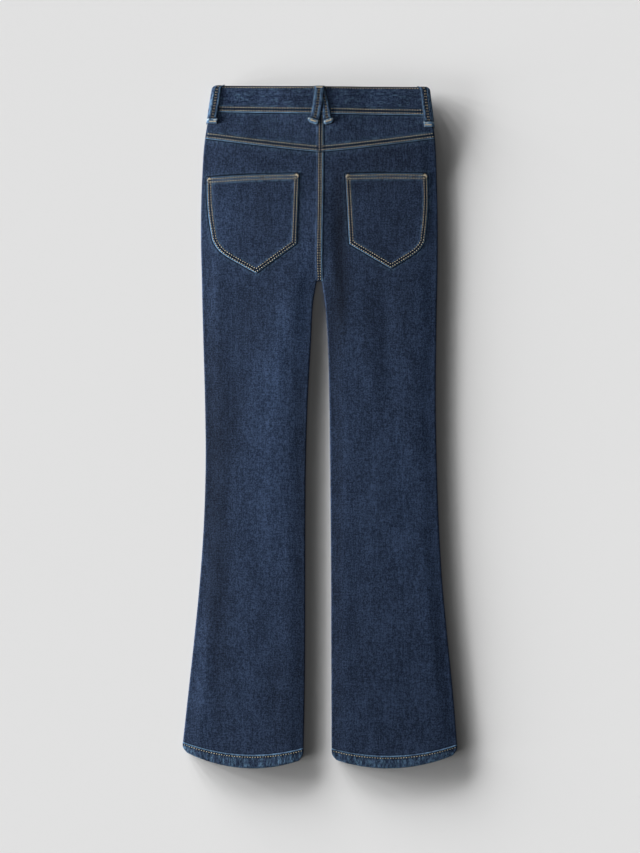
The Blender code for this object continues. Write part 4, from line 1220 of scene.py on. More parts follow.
def build_hem(side, name, node_name, sizes):
    """Turned-up hem: a flattened ring of two plies, its lower corners rounded."""
    step = sizes.cloth_step
    rises = spaced((0.0, 0.03), (0.18, 0.06), (0.78, 0.03), (1.0, 1.0))
    width = 160.0 * MM
    stops = (0.0, 0.5 * step), (8 * MM, 0.6 * step), (width - 8 * MM, 0.5 * step), (width, 1.0)
    shares = (spaced(*stops) / width)[1:-1]
    lowest = hem_shape(side)["lowest_from_centre"] * MM
    half = (EDGE_HEIGHT - FLOOR_CLEAR) / 2
    rise = rises[:, None]
    level = hem_bottom(side, lowest) * (1 - rise) + hem_top(side, lowest) * rise
    corner = HEM_CORNER * (1 - rise) ** 4
    outer, inner = 195.0 * MM, 22.0 * MM
    outer = outer_edge(side, hem_bottom(side, outer) * (1 - rise) + hem_top(side, outer) * rise) - corner
    inner = inner_edge(side, hem_bottom(side, inner) * (1 - rise) + hem_top(side, inner) * rise) + corner
    inner_w = inner + ROLL - ROLL * np.cos(INNER_ANGLES)
    outer_w = outer - ROLL + ROLL * np.cos(OUTER_ANGLES)
    run = inner + ROLL + shares * (outer - inner - 2 * ROLL)
    w = np.concatenate([run[:, ::-1], inner_w, run, outer_w, run[:, -1:]], axis=1)
    on_top = np.zeros(w.shape[1], bool)
    on_top[len(shares) + len(INNER_ANGLES) // 2: -ROLL_STEPS // 2 - 1] = True
    seam_w = between_rolls(side, w, level + HEM_TURN)
    foot = hem_bottom(side, seam_w) + HEM_UNDERLAY * ~on_top
    y = foot + rise * (hem_top(side, seam_w) - HEM_GAP - foot)
    face = hem_face(side, w, y)
    swell = HEM_LIFT * smooth((1 - rise) * hem_shape(side)["depth"] / 1.6)
    floor = FLOOR_CLEAR + 0.0 * w
    inner_z = floor[:, :1] + (half + swell / 2) * (1 + np.sin(INNER_ANGLES))
    outer_z = floor[:, :1] + (half + swell / 2) * (1 + np.sin(OUTER_ANGLES))
    front = floor[:, : len(shares)]
    top = face[:, len(shares) + len(INNER_ANGLES): len(shares) * 2 + len(INNER_ANGLES)]
    z = np.concatenate([front, inner_z, top, outer_z, front[:, :1]], axis=1)
    up = (y - hem_bottom(side, w)) / MM
    down = (hem_top(side, w) - y) / MM
    ragged = np.clip(noise(side * w, y, 5.0 * MM, 30.0 * MM, 37) + 0.2, 0.0, 1.0)
    worn = np.minimum(0.55 * np.abs(up) + 0.3 + ragged, np.abs(down - 1.3) + 0.4 + 0.5 * ragged)
    ropes = noise(side * w, y, 2.3 * MM, 12.0 * MM, 31) + 0.7 * noise(side * w, y, 1.7 * MM, 5.0 * MM, 35)
    rubbed = smooth(down / 2.0) * np.clip(0.6 + 1.3 * ropes, 0.1, 1.7) * (1.0 if side < 0 else 0.75) + 0.1
    # Painted shade: a dark line 6 mm below the hem's upper edge, and along its row of stitches
    marks = {"worn": worn, "deep": np.abs(down - 6.0) + 0.9, "rubbed": rubbed, "sewn": np.abs(down - HEM_ROW)}
    marks = {mark: facing(value, side) for mark, value in marks.items()}
    points = np.stack([side * w, y, z], axis=2)
    return cloth(name, facing(points, side), 1.3 * sizes.denim_ply, denim_for(), [node_name],
                 marks)


def build_waistband(name):
    """Waistband: one folded strip, from its outer end at the fly round the left edge, the back and the
    right edge to the underlap. Each column stands at its own place, its rows shared out over the depth."""
    rises = spaced((0.0, 0.018), (0.24, 0.045), (0.88, 0.02), (1.0, 1.0))[:, None]
    fine = 3.0 * MM
    ends = spaced((-DIP_REACH, fine), (OVERLAP - 2 * MM, 0.7 * MM), (OVERLAP, 1.0))[::-1]
    runs = []
    near_left, near_right = -outer_edge(-1, WAIST_SEAM), outer_edge(1, WAIST_SEAM)

    def depth_at(near):
        return band_bottom(near) + rises * (band_top(near) - band_bottom(near))

    outer_end = np.broadcast_to(ends, (len(rises), len(ends)))
    runs.append((outer_end, BAND_FLOOR + 0.0 * outer_end, front_dip(outer_end)))
    half = (BAND_TOP - BAND_FLOOR) / 2
    angles = np.radians(np.linspace(-90.0, 90.0, ROLL_STEPS + 2))
    left = -(outer_edge(-1, depth_at(near_left)) - ROLL + ROLL * np.cos(angles))
    runs.append((left, BAND_FLOOR + half + half * np.sin(angles) + 0.0 * left, front_dip(left)))
    share = spaced((-0.985, 0.006), (-0.95, 0.0135), (0.95, 0.006), (0.985, 1.0))
    left_reach, right_reach = outer_edge(-1, depth_at(near_left)), outer_edge(1, depth_at(near_right))
    reach = np.where(share < 0, left_reach, right_reach) - ROLL
    back = share * reach
    back_y = band_bottom(back) + rises * (band_top(back) - band_bottom(back))
    at_edge = smooth((np.abs(share) - 0.9) / 0.085)
    back_z = band_height(back, back_y) * (1 - at_edge) + BAND_TOP * at_edge
    runs.append((back, back_z, 0.0 * back))
    right = outer_edge(1, depth_at(near_right)) - ROLL + ROLL * np.cos(angles[::-1])
    runs.append((right, BAND_FLOOR + half + half * np.sin(angles[::-1]) + 0.0 * right, front_dip(right)))
    under = spaced((-OVERLAP, 1.5 * MM), (TUCK[0], fine), (DIP_REACH, 1.0))[::-1]
    underlap = np.broadcast_to(under, (len(rises), len(under)))
    tucked = smooth((TUCK[0] - underlap) / (TUCK[0] - TUCK[1]))
    runs.append((underlap, BAND_FLOOR + tucked * (BAND_PLY + SEAM), front_dip(underlap)))

    x = np.concatenate([run[0] for run in runs], axis=1)
    z = np.concatenate([run[1] for run in runs], axis=1)
    dip = np.concatenate([run[2] for run in runs], axis=1)
    y = band_bottom(x) + rises * (band_top(x) - band_bottom(x)) - dip
    depth = (band_top(x) - band_bottom(x)) / MM
    up, down = rises * depth, (1 - rises) * depth
    streaks = noise(x, y, 9.0 * MM, 2.2 * MM, 83) + 0.9 * noise(x, y, 3.6 * MM, 1.6 * MM, 85)
    rubbed = np.maximum(0.7 * band_of(up, 8.6, 2.0), 0.25 * band_of(down, 2.5, 2.5))
    rubbed = np.clip(rubbed + 0.12 + 0.42 * streaks, 0.0, 1.3)
    sewn = np.minimum(near_rows(up * MM, BAND_ROWS) / MM, np.abs(down - BAND_TOP_ROW))
    # Painted shade: a line just above the seam's raised band, beside the loops on the back, and along the top
    # edge
    on_back = z > BAND_FLOOR + 2.6 * MM
    deep = np.minimum(np.abs(up - 9.6) + 1.0, np.where(on_back, beside_loops(x, y) / MM, 50.0))
    deep = np.minimum(deep, 0.6 * down + 0.1)
    marks = {"worn": up, "deep": deep, "rubbed": rubbed, "sewn": sewn}
    points = np.stack([x, y, z], axis=2)
    return cloth(name, points, BAND_PLY, denim_for("warp_across"), ["waistband"],
                 marks)


def loop_marks(width, share, length, dulled=(0.3, 0.3), rows_at=0.0):
    """Marks of a belt loop: mottled worn edges, less where dulled (mm, left and right), and a rubbed face.
    Dulling
    is painted shade: it narrows a worn edge on the side towards the light, and where another loop shades it.

    Its foot is bare in spots. Beyond its edges lies its rim, painted black as shade, and a line of painted
    shade crosses it above its folded foot."""
    left, right = (width + 0.5) * LOOP_WIDTH / MM + dulled[0], (0.5 - width) * LOOP_WIDTH / MM + dulled[1]
    spots = noise(width * LOOP_WIDTH, share * length, 2.1 * MM, 2.4 * MM, 61)
    foot = 0.9 - FOOT_BARE * np.clip(spots + 0.25, 0.0, 1.0) + 30.0 * (share > FOOT_WORN_TO)
    mottled = LOOP_MOTTLE * np.clip(0.3 - spots, 0.0, 1.0)
    worn = np.minimum(left, right) + mottled
    worn = np.minimum(worn, np.minimum(foot, (1 - share) * length / MM + 0.8))
    outside = (np.abs(width) > 0.505) | (share < -0.001)
    deep = np.where(outside, 0.0, np.abs(share - FOOT_SHADE) * length / MM + 0.7)
    sewn = np.abs(width - rows_at) * LOOP_WIDTH - 1.1 * MM + 30.0 * MM * (share < ROWS_FROM)
    return {"worn": worn, "deep": deep, "rubbed": np.full_like(worn, 1.0), "sewn": sewn / MM}


def loop_relief(width, share):
    """Two grooves along a loop under its stitches, raised folds beside them, and a folded, thicker foot."""
    groove = np.exp(-(((np.abs(width) - LOOP_STITCHES) / 0.06) ** 2))
    foot = smooth((0.15 - share) / 0.02) * (1.0 - 0.6 * smooth((0.03 - share) / 0.03))
    return 0.12 * MM * np.exp(-(((np.abs(width) - 0.33) / 0.1) ** 2)) - 0.2 * MM * groove * (1 - foot) \
        + 0.7 * MM * foot - 0.14 * MM * smooth((np.abs(width) - 0.42) / 0.08)


LOOP_WIDTHS = np.linspace(-0.5, 0.5, 17)
LOOP_SHARES = np.concatenate([
    np.linspace(0.0, 0.16, 17), np.linspace(0.18, 0.97, 42), np.linspace(0.98, 1.0, 3),
])


def foot_spread(share):
    """A loop is wider where its foot is folded under and tacked."""
    return 1.0 + 0.22 * smooth((0.17 - share) / 0.05)


def beside_loops(x, y):
    """Distance in metres outside the outline of the nearest loop on the waistband's back."""
    closest = np.full(np.broadcast(x, y).shape, 50.0 * MM)
    run = band_top(x) - band_bottom(x) + LOOP_FOOT + LOOP_PROUD
    side_run = run - LOOP_FOOT + SIDE_FOOT
    for loop in cross_loops():
        for _ in range(2):
            share = (y - band_bottom(x) + LOOP_FOOT) / run
            low, high = loop_edges(loop, share)
            lean = loop["foot_slope"] * (x - (low + high) / 2) * smooth((0.6 - share) / 0.6)
            share = share - lean / run
        aside = np.maximum(np.maximum(low - x, x - high), 0.0)
        below = np.maximum(-share * run, 0.0)
        closest = np.minimum(closest, np.where(share < 1.0, np.hypot(aside, below), 50.0 * MM))
    for side in (-1, 1):
        share = (y - band_bottom(x) + SIDE_FOOT) / side_run
        aside = outer_edge(side, WAIST_SEAM) - SIDE_LOOP_REACH * foot_spread(share) - side * x
        closest = np.minimum(closest, np.hypot(np.maximum(aside, 0.0), np.maximum(-share * side_run, 0.0)))
    # Shifted and scaled for the painted shade beside the loops
    return 1.1 * closest - 0.3 * MM


def cross_loops():
    return [named(row, CROSS_COLUMNS) for row in CROSS_LOOPS]


def loop_edges(loop, share):
    """Left and right edge of a centre back loop at a share of its length."""
    at, left, right = np.array(loop["edges"]).T
    return np.interp(share, at, left) * MM, np.interp(share, at, right) * MM


def cross_loop_at(loop, width, share):
    """Point of a centre back loop's face, at a share of its width and of its length.

    Half a width from its middle the face ends: beyond, and below its foot, its rim turns down round it."""
    beyond, below = np.clip((np.abs(width) - 0.5) / 0.1, 0.0, 1.0), np.clip(-share / 0.02, 0.0, 1.0)
    past = np.sign(width) * beyond * LOOP_RIM
    width, share = np.clip(width, -0.5, 0.5), np.maximum(share, 0.0)
    left, right = loop_edges(loop, share)
    x = (left + right) / 2 + width * (right - left) + past
    foot, head = band_bottom(x) - LOOP_FOOT, band_top(x) + LOOP_PROUD
    leaning = loop["foot_slope"] * width * (right - left) * smooth((0.6 - share) / 0.6)
    y = foot + share * (head - foot) + leaning - LOOP_RIM * below
    lift = LOOP_GAP + LOOP_PLY + LOOP_SLACK * np.sin(math.pi * share)
    if loop["lies_over"]:
        lift = lift + (LOOP_PLY + SEAM) * smooth((share - CROSSING[0]) / (CROSSING[1] - CROSSING[0]))
    carried = BAND_TOP + overlap_rise(x) - 0.6 * LOOP_PLY * np.maximum(beyond, below)
    return np.stack([x, y, carried + lift + loop_relief(width, share)], axis=-1)


def side_loop_at(side, around, share):
    """Point of a side loop's face: around is -1 under the band's edge, 0 at its side, and 1 on its top.

    Beyond 1, and below its foot, its rim turns down round it."""
    beyond, below = np.clip((around - 1.0) / 0.1, 0.0, 1.0), np.clip(-share / 0.02, 0.0, 1.0)
    around, share = np.minimum(around, 1.0), np.maximum(share, 0.0)
    half = (BAND_TOP - BAND_FLOOR) / 2
    slack = LOOP_SLACK * np.sin(math.pi * share) + LOOP_GAP + LOOP_PLY
    middle = side * (outer_edge(side, WAIST_SEAM) - SIDE_LOOP_REACH / 2)
    foot, head = band_bottom(middle) - SIDE_FOOT, band_top(middle) + LOOP_PROUD
    y = foot + share * (head - foot) - LOOP_RIM * below * smooth((around - 0.4) / 0.2)
    turn = np.radians(np.clip(-10.0 + 200.0 * around, -10.0, 90.0))
    reach = np.clip(2.0 * around - 1.0, 0.0, 1.0) * SIDE_LOOP_REACH * foot_spread(share) + LOOP_RIM * beyond
    w = outer_edge(side, y) - ROLL + (ROLL + slack) * np.cos(turn) - reach
    z = BAND_FLOOR + half + (half + slack) * np.sin(turn)
    relief = loop_relief(1.5 * (around - SIDE_ROWS), share) * smooth(around / 0.4)
    relief = relief - 0.6 * LOOP_PLY * np.maximum(beyond, below)
    return np.stack([side * w, y + 0.0 * w, z + relief], axis=-1)


def front_loop_at(side, width, share):
    """Point of a front loop's face, just off the floor under the waistband."""
    x = side * FRONT_LOOP_X + width * LOOP_WIDTH * foot_spread(share)
    foot, head = band_bottom(x) - front_dip(x) - LOOP_FOOT, band_top(x) - front_dip(x)
    return np.stack([x, foot + share * (head - foot), FLOOR_CLEAR - 0.3 * loop_relief(width, share)], axis=-1)


def build_loops():
    """The six belt loops, each a narrow folded strip of several plies."""
    width, share = LOOP_WIDTHS[None, :], LOOP_SHARES[:, None]
    length = WAIST_TOP - WAIST_SEAM + LOOP_FOOT
    marks = loop_marks(width + 0.0 * share, share + 0.0 * width, length)
    rim = np.array(RIM_STEPS)
    rimmed = np.concatenate([-rim[::-1], LOOP_WIDTHS, rim])[None, :]
    footed = np.concatenate([FOOT_STEPS, LOOP_SHARES])[:, None]
    made = []
    for loop in cross_loops():
        points = cross_loop_at(loop, rimmed, footed)
        dulled = (0.9, 0.3) if loop["lies_over"] else (3.0, 0.3)
        loop_shade = loop_marks(rimmed + 0.0 * footed, footed + 0.0 * rimmed, length, dulled)
        # Painted shadow of the upper crossing loop on the lower one, beside the upper loop's right edge
        if not loop["lies_over"]:
            at, _, right = np.array(LEFT_EDGES).T
            beyond = points[..., 0] / MM - np.interp(footed, at, right)
            loop_shade["deep"] = np.minimum(loop_shade["deep"], np.abs(beyond))
        made.append(cloth("belt_" + loop["name"], points, LOOP_PLY, denim_for(),
                          [loop["name"]], loop_shade))
    for side, word in SIDES:
        around = np.append(np.linspace(0.0, 1.0, 21), [1.01, 1.1])[None, :]
        points = side_loop_at(side, around, footed)
        side_marks = loop_marks(around - 0.5 + 0.0 * footed, footed + 0.0 * around, length, (1.5, 0.7),
                                SIDE_ROWS - 0.5)
        side_marks = {mark: facing(value, -side) for mark, value in side_marks.items()}
        made.append(cloth("belt_loop_side_" + word, facing(points, -side), LOOP_PLY, denim_for(),
                          ["loop_side_" + word], side_marks))
        points = front_loop_at(side, width[:, ::-1], share)
        made.append(cloth("belt_loop_front_" + word, points, LOOP_PLY, denim_for(),
                          ["loop_front_" + word], marks))
    return made


# ---------------------------------------------------------------- closure

def button_y():
    return float(band_bottom(0.0) + band_top(0.0)) / 2 - FRONT_DIP


def turned(profile, steps):
    """A turned solid: each profile point (radius, height) swept round the axis in equal steps."""
    profile = np.array(profile, float)
    angle = np.arange(steps) * 2 * math.pi / steps
    ring = np.stack([np.cos(angle), np.sin(angle)], axis=1)
    points = np.concatenate([
        profile[:, None, :1] * ring[None], np.repeat(profile[:, None, 1:], steps, axis=1),
    ], axis=2)
    spot, after = np.arange(steps), (np.arange(steps) + 1) % steps
    rows = np.arange(len(profile) - 1)[:, None] * steps
    faces = np.stack([rows + spot, rows + after, rows + steps + after, rows + steps + spot], axis=2)
    return points.reshape(-1, 3), faces.reshape(-1, 4)


def build_button(name):
    """Tack button, face down: a domed cap with a rim and a ringed hollow, and a shank through the eyelet."""
    r, cap = BUTTON_RADIUS, BUTTON_CAP
    shank_top = BAND_FLOOR + BAND_PLY - 0.1 * MM
    profile = [
        (0.01 * MM, 0.35 * MM), (0.30 * r, 0.32 * MM), (0.42 * r, 0.22 * MM), (0.48 * r, 0.32 * MM),
        (0.56 * r, 0.34 * MM), (0.68 * r, 0.30 * MM), (0.76 * r, 0.12 * MM), (0.84 * r, 0.0),
        (0.92 * r, 0.05 * MM), (0.98 * r, 0.32 * MM), (r, 0.75 * MM), (0.985 * r, 1.2 * MM),
        (0.93 * r, cap - 0.25 * MM), (0.86 * r, cap), (SHANK_RADIUS * 1.4, cap),
        (SHANK_RADIUS, cap + 0.2 * MM), (SHANK_RADIUS, shank_top - 0.2 * MM),
        (SHANK_RADIUS * 0.85, shank_top), (0.01 * MM, shank_top),
    ]
    points, faces = turned(profile, 48)
    points[:, 1] += button_y()
    brass = finish_of("button_brass", worn_metal, tuple(bpy.context.scene.jeans_colours.brass))
    return piece(name, mesh_of(name, points, faces), brass, ["button"])


def boxes(centres, sizes_xyz, bevel=0.18):
    """Points and faces of many small blocks, each narrowed at its top and bottom by a share of its size."""
    corner = np.array([(-1, -1), (1, -1), (1, 1), (-1, 1)], float) / 2
    levels = ((-0.5, 1 - bevel), (-0.5 + bevel, 1.0), (0.5 - bevel, 1.0), (0.5, 1 - bevel))
    block = np.concatenate([
        np.concatenate([corner * share, np.full((4, 1), level)], axis=1) for level, share in levels
    ])
    points = centres[:, None] + block[None] * sizes_xyz
    spot, after = np.arange(4), (np.arange(4) + 1) % 4
    rows = np.arange(3)[:, None] * 4
    sides = np.stack([rows + spot, rows + after, rows + 4 + after, rows + 4 + spot], axis=2).reshape(-1, 4)
    caps = np.array([(3, 2, 1, 0), (12, 13, 14, 15)])
    faces = np.concatenate([sides, caps])
    shift = np.arange(len(centres))[:, None, None] * len(block)
    return points.reshape(-1, 3), (faces[None] + shift).reshape(-1, 4)


def behind_fly(y):
    return underside(y) + ZIP_LIFT + SEAM


def build_zip():
    """Closed zip behind the fly: a woven tape, two rows of meshed teeth, a slider with its pull, a stop."""
    top = WAIST_SEAM - FRONT_DIP - ZIP_BELOW_WAIST
    colours = bpy.context.scene.jeans_colours
    y = spaced((top - FLY_LENGTH, 2.0 * MM), (top, 1.0))[:, None]
    across = np.linspace(0.5, -0.5, 25)[None, :]
    middle = 0.25 * MM * np.exp(-((across / 0.08) ** 2))
    z = behind_fly(y) + middle
    points = np.stack([across * ZIP_WIDTH + 0.0 * y, y + 0.0 * across, z], axis=2)
    tape = finish_of("zip_tape", woven_tape, tuple(colours.tape))
    mesh = mesh_of("zip_tape_woven", points, quads(*points.shape[:2]))
    made = piece("zip_tape_woven", mesh, tape, ["zip"])
    thicken_and_state(made, ZIP_THICKNESS)

    tooth_y = np.arange(top - FLY_LENGTH + 6 * MM, top - 9 * MM, TOOTH_PITCH)
    sides = np.where(np.arange(len(tooth_y)) % 2, 1.0, -1.0)
    tooth_z = behind_fly(tooth_y) + 0.55 * MM
    teeth = np.stack([sides * 1.1 * MM, tooth_y, tooth_z], axis=1)
    slider_y = top - 8 * MM
    slider_z = float(behind_fly(slider_y)) + 0.75 * MM
    extra = np.array([
        (0.0, slider_y, slider_z), (0.0, slider_y - 9 * MM, slider_z + 0.1 * MM),
        (0.0, top - FLY_LENGTH + 4 * MM, tooth_z[0]),
    ])
    shapes = [
        boxes(teeth, np.array((3.4, 1.2, 1.1)) * MM),
        boxes(extra[:1], np.array((6.4, 7.5, 1.5)) * MM),
        boxes(extra[1:2], np.array((3.2, 12.0, 0.7)) * MM),
        boxes(extra[2:], np.array((5.0, 2.4, 1.4)) * MM),
    ]
    starts = np.cumsum([0] + [len(shape[0]) for shape in shapes[:-1]])
    points = np.concatenate([shape[0] for shape in shapes])
    faces = np.concatenate([shape[1] + start for shape, start in zip(shapes, starts)])
    brass = finish_of("button_brass", worn_metal, tuple(colours.brass))
    return piece("zip_teeth", mesh_of("zip_teeth", points, faces), brass)


# ---------------------------------------------------------------- sewing

def face_of(side, face):
    """A face's height as a function of x and y."""
    def height(x, y):
        return face(side, side * x, y)

    return height


def flat_at(height):
    """A flat face at that height."""
    return lambda x, y: height + 0.0 * x


def yoke_rows():
    """Paths of the yoke seams' rows of stitches, with the faces that they lie on."""
    rows = []
    for side in (-1, 1):
        w = np.linspace(4.0 * MM, 164.0 * MM, 120)
        for off in YOKE_ROWS:
            path = np.stack([side * w, yoke_seam(w) + off * MM], axis=1)
            inside = w < outer_edge(side, path[:, 1]) - 1.0 * MM
            rows.append((path[inside], face_of(side, yoke_face), 1.0))
    return rows


def centre_rows():
    """Two rows beside the centre back seam, on the left panel, from the crotch up to the waistband."""
    rows = []
    for offs, low, high, face in ((CENTRE_ROWS, CROTCH + 1.5 * MM, YOKE_POINT - 1 * MM, leg_face),
                                  (YOKE_CENTRE_ROWS, YOKE_POINT + 1 * MM, WAIST_SEAM - 1.5 * MM, yoke_face)):
        for off in offs:
            y = np.linspace(low, high, 80)
            x = along(CENTRE_SEAM, SEAM_COLUMNS.index("x"), y) - off * MM
            rows.append((np.stack([x, y], axis=1), face_of(-1, face), 1.0))
    return rows


def band_lines(x):
    """Where the waistband's three rows lie at x: two above its seam and one below its top."""
    low, high = band_bottom(x), band_top(x)
    return low + BAND_ROWS[0] * MM, low + BAND_ROWS[1] * MM, high - BAND_TOP_ROW * MM


def band_rows():
    """Rows along both edges of the waistband, on its back and on its front."""
    x = np.linspace(-152.0 * MM, 153.5 * MM, 160)
    rows = [(np.stack([x, y], axis=1), band_height, 1.0) for y in band_lines(x)]
    for low, high in ((-150.0, OVERLAP / MM - 1.5), (OVERLAP / MM + 1.5, 150.0)):
        x = np.linspace(low * MM, high * MM, 90)
        for y in band_lines(x):
            rows.append((np.stack([x, y - front_dip(x)], axis=1), flat_at(BAND_FLOOR), -1.0))
    return rows


def pocket_rows():
    """Two rows inside each pocket's sewn sides and two across its mouth."""
    rows = []
    for side in (-1, 1):
        height = pocket_face(side)
        sides = pocket_sides(side, 90)
        for off in POCKET_ROWS:
            rows.append((moved_in(sides, off * MM, side), height, 1.0))
        share = np.linspace(0.02, 0.98, 60)
        mouth = pocket_edges(side, share, share)[0]
        for off in MOUTH_ROWS:
            rows.append((mouth - np.array((0.0, off * MM)), height, 1.0))
    return rows


def hem_rows():
    """One row round each hem, on its back and on its front."""
    rows = []
    for side in (-1, 1):
        low, high = inner_edge(side, HEM_LEVEL) + 1.6 * MM, outer_edge(side, HEM_LEVEL) - 1.6 * MM
        w = np.linspace(float(low), float(high), 100)
        path = np.stack([side * w, hem_top(side, w) - HEM_ROW * MM], axis=1)
        rows.append((path, face_of(side, hem_face), 1.0))
        rows.append((path, flat_at(FLOOR_CLEAR), -1.0))
    return rows


def loop_paths(sizes):
    """Centres and frames of the stitches on the belt loops, from differences of each loop's own surface."""
    count = int((WAIST_TOP - WAIST_SEAM + LOOP_FOOT - 6 * MM) / sizes.stitch_pitch)
    share = np.linspace(0.17, 0.965, count)
    near = 0.01
    parts = []

    def lay(surface, off, up=1.0):
        here, ahead = surface(off, share), surface(off, share + near)
        aside = surface(off + near, share)
        tangent = ahead - here
        tangent /= np.linalg.norm(tangent, axis=1)[:, None]
        out = np.cross(aside - here, tangent)
        out /= np.linalg.norm(out, axis=1)[:, None]
        out *= np.sign(out[:, 2:]) * up
        parts.append((here + out * 0.3 * sizes.thread_radius, tangent, np.cross(out, tangent), out))

    for off in (-LOOP_STITCHES, LOOP_STITCHES):
        for loop in cross_loops():
            lay(lambda width, at: cross_loop_at(loop, width, at), off)
        for side in (-1, 1):
            lay(lambda around, at: side_loop_at(side, around, at), SIDE_ROWS + 0.55 * off)
    for off in (-LOOP_STITCHES, LOOP_STITCHES):
        for side in (-1, 1):
            lay(lambda width, at: front_loop_at(side, width, at), off, -1.0)
    return joined(parts)


def fly_rows():
    """The fly's curved double row on the front, and one row beside the centre front seam."""
    def flat(x, y):
        return underside(y)

    rows = []
    top = WAIST_SEAM - FRONT_DIP - 1.5 * MM
    for inset in (0.0, 5.0 * MM):
        wide = FLY_WIDTH - inset
        straight = np.linspace(top, top - FLY_LENGTH + wide, 40)
        turn = np.linspace(0.0, math.pi / 2, 30)[1:]
        x = np.concatenate([np.full(40, wide), wide * np.cos(turn)])
        y = np.concatenate([straight, straight[-1] - wide * np.sin(turn)])
        rows.append((np.stack([x, y], axis=1), flat, -1.0))
    y = np.linspace(CROTCH + 6 * MM, top - FLY_LENGTH - 4 * MM, 30)
    rows.append((np.stack([np.full(30, 2.5 * MM), y], axis=1), flat, -1.0))
    return rows


def eyelet_ring(sizes):
    """Buttonhole stitches: short strands set round the eyelet like spokes."""
    count = EYELET_STRANDS
    angle = np.arange(count) * 2 * math.pi / count
    ring = np.stack([np.cos(angle), np.sin(angle)], axis=1)
    centre = np.concatenate([ring * (EYELET_RADIUS + 1.5 * MM), np.full((count, 1), BAND_FLOOR)], axis=1)
    centre[:, 1] += button_y()
    tangent = np.concatenate([ring, np.zeros((count, 1))], axis=1)
    out = np.tile((0.0, 0.0, -1.0), (count, 1))
    mesh = stitch_mesh("buttonhole_stitches", centre, tangent, np.cross(out, tangent), out,
                       np.full(count, 2.4 * MM), 0.8 * sizes.thread_radius)
    return piece("buttonhole_stitches", mesh, thread_for())


def bar_tacks():
    """Every bar tack: x, y, turn in degrees, length, width, face and which way is out."""
    tacks = []
    for side in (-1, 1):
        height = pocket_face(side)
        mouth = pocket_edges(side, np.array((0.0, 1.0)), np.array((0.0, 1.0)))[0]
        for (x, y), lean in zip(mouth, (1.0, -1.0)):
            inward = 2.5 * MM * side * lean
            turn = 90.0 - 42.0 * side * lean
            tacks.append((x + inward, y - 2.6 * MM, turn, 4.6 * MM, 2.0 * MM, height, 1.0))

    def crossed(loop):
        def height(x, y):
            run = band_top(x) + LOOP_PROUD - band_bottom(x) + LOOP_FOOT
            share = (y - band_bottom(x) + LOOP_FOOT) / run
            return cross_loop_at(loop, 0.0 * x, np.clip(share, 0.06, 1.0))[..., 2]
        return height

    for loop in cross_loops():
        foot_x, foot_y, _ = cross_loop_at(loop, np.array(0.0), np.array(0.075))
        turn = math.degrees(math.atan(loop["foot_slope"]))
        tacks.append((float(foot_x), float(foot_y), turn, 7.5 * MM, 2.2 * MM, crossed(loop), 1.0))
    upper = next(loop for loop in cross_loops() if loop["lies_over"])
    head_x, head_y, _ = cross_loop_at(upper, np.array(0.0), np.array(0.965))
    tacks.append((float(head_x), float(head_y), 0.0, 8.5 * MM, 1.7 * MM, crossed(upper), 1.0))

    side_face = flat_at(BAND_TOP + LOOP_GAP + LOOP_PLY + 0.5 * MM)
    for side in (-1, 1):
        x = side * float(outer_edge(side, WAIST_SEAM) - 5.4 * MM)
        y = float(band_bottom(x)) - SIDE_FOOT + 2.6 * MM
        tacks.append((x, y, 0.0, 9.0 * MM, 1.9 * MM, side_face, 1.0))
    return tacks


# ---------------------------------------------------------------- stage

def towards(azimuth, elevation):
    """Unit vector to a light, from its azimuth (degrees from +X towards +Y) and its elevation."""
    a, e = math.radians(azimuth), math.radians(elevation)
    return Vector((math.cos(a) * math.cos(e), math.sin(a) * math.cos(e), math.sin(e)))


def lamp(name, kind, azimuth, elevation, strength, lit, distance=5.0, shaded_by=None):
    """A light that shines at the garment's middle, on one collection only, shaded by one or by all."""
    light = bpy.data.lights.new(name, kind)
    light.energy = strength
    made = bpy.data.objects.new(name, light)
    direction = towards(azimuth, elevation)
    made.location = distance * direction
    made.rotation_mode = "QUATERNION"
    made.rotation_quaternion = direction.to_track_quat("Z", "Y")
    bpy.context.scene.collection.objects.link(made)
    made.light_linking.receiver_collection = collection_of(lit)
    if shaded_by:
        made.light_linking.blocker_collection = collection_of(shaded_by)
    return light


def build_floor(stage):
    """Pale matt floor, in a collection of its own."""
    half = stage.floor_size / 2
    corners = np.array([(-half, -half, 0.0), (half, -half, 0.0), (half, half, 0.0), (-half, half, 0.0)])
    mesh = mesh_of("floor", corners, np.array([(0, 1, 2, 3)]))
    mesh.materials.append(finish_of("floor_paint", painted_floor, tuple(stage.floor_colour)))
    floor = bpy.data.objects.new("floor", mesh)
    collection_of("floor_only").objects.link(floor)
    return floor


OVERHEAD_ELEVATION = 75.0
OVERHEAD_SPREAD = 100.0
# Low lights that draw the garment's soft shadow on the floor
SHADOW_COLUMNS = ("azimuth", "elevation", "spread", "share")
SHADOW_LIGHTS = (
    (106.0, 3.4, 6.4, 0.035), (118.0, 3.4, 6.4, 0.120), (130.0, 3.4, 6.4, 0.165), (142.0, 3.4, 6.4, 0.140),
    (154.0, 3.4, 6.4, 0.175), (166.0, 3.4, 6.4, 0.120), (178.0, 3.4, 6.4, 0.035), (190.0, 3.4, 6.4, 0.085),
    (202.0, 3.4, 6.4, 0.060), (214.0, 5.0, 8.0, 0.015),
)


